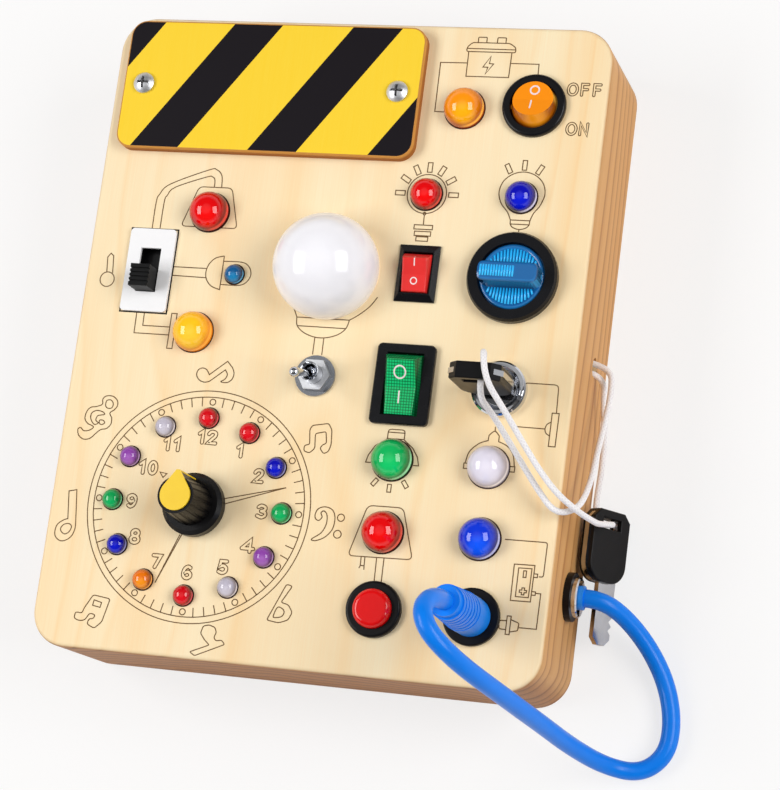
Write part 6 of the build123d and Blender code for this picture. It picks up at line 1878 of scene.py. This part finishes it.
# ---------------------------------------------------------------------------------------
# Studio
# ---------------------------------------------------------------------------------------
@dataclass
class Studio:
    """A pale floor, two soft boxes, a pale surround and the camera.

    Attributes:
        camera_at: The camera's place, in metres.
        look: The way that it looks.
        up: The way that is up in its frame.
        lens_mm: Its focal length.
        frame_mm: The width of its frame.
        horizon: Where the pale surround fades, by height from -1 to 1, and its two strengths.
        zenith: The same for the brighter patch overhead.
        fill: The strength of the surround that lights the board.
        own_light: The share of the floor's white that the camera sees without a shadow.
    """

    camera_at: Point3 = (0.29619, -0.20181, 0.91046)
    look: Point3 = (-0.29101, 0.19854, -0.93589)
    up: Point3 = (-0.06650, 0.97167, 0.22681)
    lens_mm: float = 117.92
    frame_mm: float = 36.0
    horizon: tuple[float, float, float, float] = (0.1, 0.45, 1.0, 0.1)
    zenith: tuple[float, float, float, float] = (0.8, 0.97, 0.0, 0.42)
    fill: float = 0.26
    own_light: float = 0.72

    def camera_turn(self) -> Matrix:
        """Returns the camera's own axes, right, up and back, as a turn."""
        look = Vector(self.look).normalized()
        right = look.cross(Vector(self.up)).normalized()
        return Matrix((right, right.cross(look), -look)).transposed()

    def camera(self) -> None:
        """Places the camera."""
        data = bpy.data.cameras.new("camera")
        data.sensor_width = self.frame_mm
        data.sensor_fit = "AUTO"
        data.lens = self.lens_mm
        data.clip_start, data.clip_end = 0.01, 20.0
        piece = add_piece("camera", data)
        turn = self.camera_turn().to_4x4()
        piece.matrix_world = Matrix.Translation(Vector(self.camera_at)) @ turn
        bpy.context.scene.camera = piece

    def soft_box(
        self, name: str, way: Point3, distance: float, size: Point2, watts: float
    ) -> None:
        """Hangs a rectangular soft light that points at the board.

        Args:
            name: The light's name.
            way: The direction from the board to the light, in the camera's own axes.
            distance: How far away it hangs, in metres.
            size: Its width and height, in metres.
            watts: Its power.
        """
        data = bpy.data.lights.new(name, "AREA")
        data.shape = "RECTANGLE"
        data.size, data.size_y = size
        data.energy = watts
        piece = add_piece(name, data)
        turn = self.camera_turn()
        out = (turn @ Vector(way)).normalized()
        across = (turn @ Vector((0.0, 1.0, 0.0))).cross(out).normalized()
        stand = Matrix((across, out.cross(across), out)).transposed().to_4x4()
        piece.matrix_world = Matrix.Translation(out * distance) @ stand

    def surround(self) -> None:
        """Sets a pale surround: white to the camera, metal and glass, softer on the board."""
        world = bpy.data.worlds.new("studio_surround")
        world.use_nodes = True
        bpy.context.scene.world = world
        nodes = Nodes(world.node_tree)
        rays = nodes.add("LightPath").node.outputs
        seen = rays["Is Camera Ray"]
        for kind in ("Is Glossy Ray", "Is Transmission Ray"):
            seen = nodes.add("Math", {0: seen, 1: rays[kind]}, operation="MAXIMUM")
        up = nodes.axes("Generated")[2]
        glow, ceiling = (
            nodes.add(
                "MapRange",
                {"Value": up, "From Min": low, "From Max": high, "To Min": start, "To Max": end},
                interpolation_type="SMOOTHSTEP",
            )
            for low, high, start, end in (self.horizon, self.zenith)
        )
        glow = nodes.add("Math", {0: glow, 1: ceiling}, operation="ADD")
        shown = nodes.add("Background", {"Strength": glow, "Color": linear("FFFFFF")})
        fill = nodes.add("Background", {"Strength": self.fill, "Color": linear("FFFCF8")})
        mix = nodes.add("MixShader", {0: seen, 1: fill, 2: shown})
        nodes.add("OutputWorld", {"Surface": mix})

    def floor(self) -> None:
        """Lays a plain pale floor that keeps the board's shadow."""
        shaped = bmesh.new()
        corners = [shaped.verts.new((x, y, 0.0)) for x, y in ((-6, -6), (6, -6), (6, 6), (-6, 6))]
        shaped.faces.new(corners)
        piece = mesh_piece("studio_floor", shaped, False)
        material = bpy.data.materials.new("paper_matt_white")
        material.use_nodes = True
        nodes = Nodes(material.node_tree)
        paper = nodes.add("BsdfDiffuse", {"Color": linear("F7F5F4")})
        white = nodes.add("Emission", {"Color": linear("FFFFFF"), "Strength": 1.0})
        seen = nodes.add("LightPath").node.outputs["Is Camera Ray"]
        share = nodes.add("Math", {0: seen, 1: self.own_light}, operation="MULTIPLY")
        mix = nodes.add("MixShader", {0: share, 1: paper, 2: white})
        nodes.add("OutputMaterial", {"Surface": mix})
        piece.data.materials.append(material)

    def lights(self) -> None:
        """Hangs an upright soft box on each side of the camera."""
        self.soft_box("soft_box_left", (-0.83, 0.12, 0.52), 1.25, (0.5, 0.84), 8.8)
        self.soft_box("soft_box_right", (0.55, 0.16, 0.82), 1.25, (0.52, 0.9), 8.8)

    def build(self) -> None:
        """Sets the colour view, the surround, the floor and the lights."""
        bpy.context.scene.view_settings.view_transform = "Standard"
        self.surround()
        self.floor()
        self.lights()


def main() -> None:
    """Builds the camera, the cords, every sub-assembly and the studio."""
    logging.basicConfig(level=logging.INFO, format="%(name)s: %(message)s")
    studio = Studio()
    studio.camera()
    lay_cords()
    assemblies: list[Any] = [
        Box(),
        Drawings(),
        BatteryCover(),
        SlideSwitch(),
        Rocker(
            "round_rocker", "round_rocker",
            CastEpoxy(
                "polycarbonate_amber_moulded", "F28C0E", "6A2604", "FFA41C", "FFC04A", 0.1, 0.7
            ),
            (68.6, 95.2, 1.6), ((67.9, 87.9), (67.9, 90.9)), 0.6,
        ),
        Rocker(
            "red_rocker", "red_rocker",
            MouldedPlastic(
                "abs_red_rocker_moulded", "F03230", "E82826", 0.3, coat=0.2, specular=0.3
            ),
            (33.0, 22.0, 1.15), ((33.0, 27.3), (33.0, 30.3)), 0.42,
        ),
        Rocker(
            "green_rocker", "green_rocker",
            CastEpoxy(
                "polycarbonate_green_prismatic", "12B466", "04401F", "18C878", "4FD890",
                0.18, 0.4, 1.0,
            ),
            (33.0, -12.0, 2.1), ((33.0, -22.5), (33.0, -18.5)), 0.55,
        ),
        RotarySwitch(),
        ToggleSwitch(),
        KeySwitch(),
        PushButton(),
        Clock(),
        SingleLamps(),
        PatchSocket(),
        studio,
    ]
    for assembly in assemblies:
        LOG.info("building %s", type(assembly).__name__)
        assembly.build()


if __name__ == "__main__":
    main()
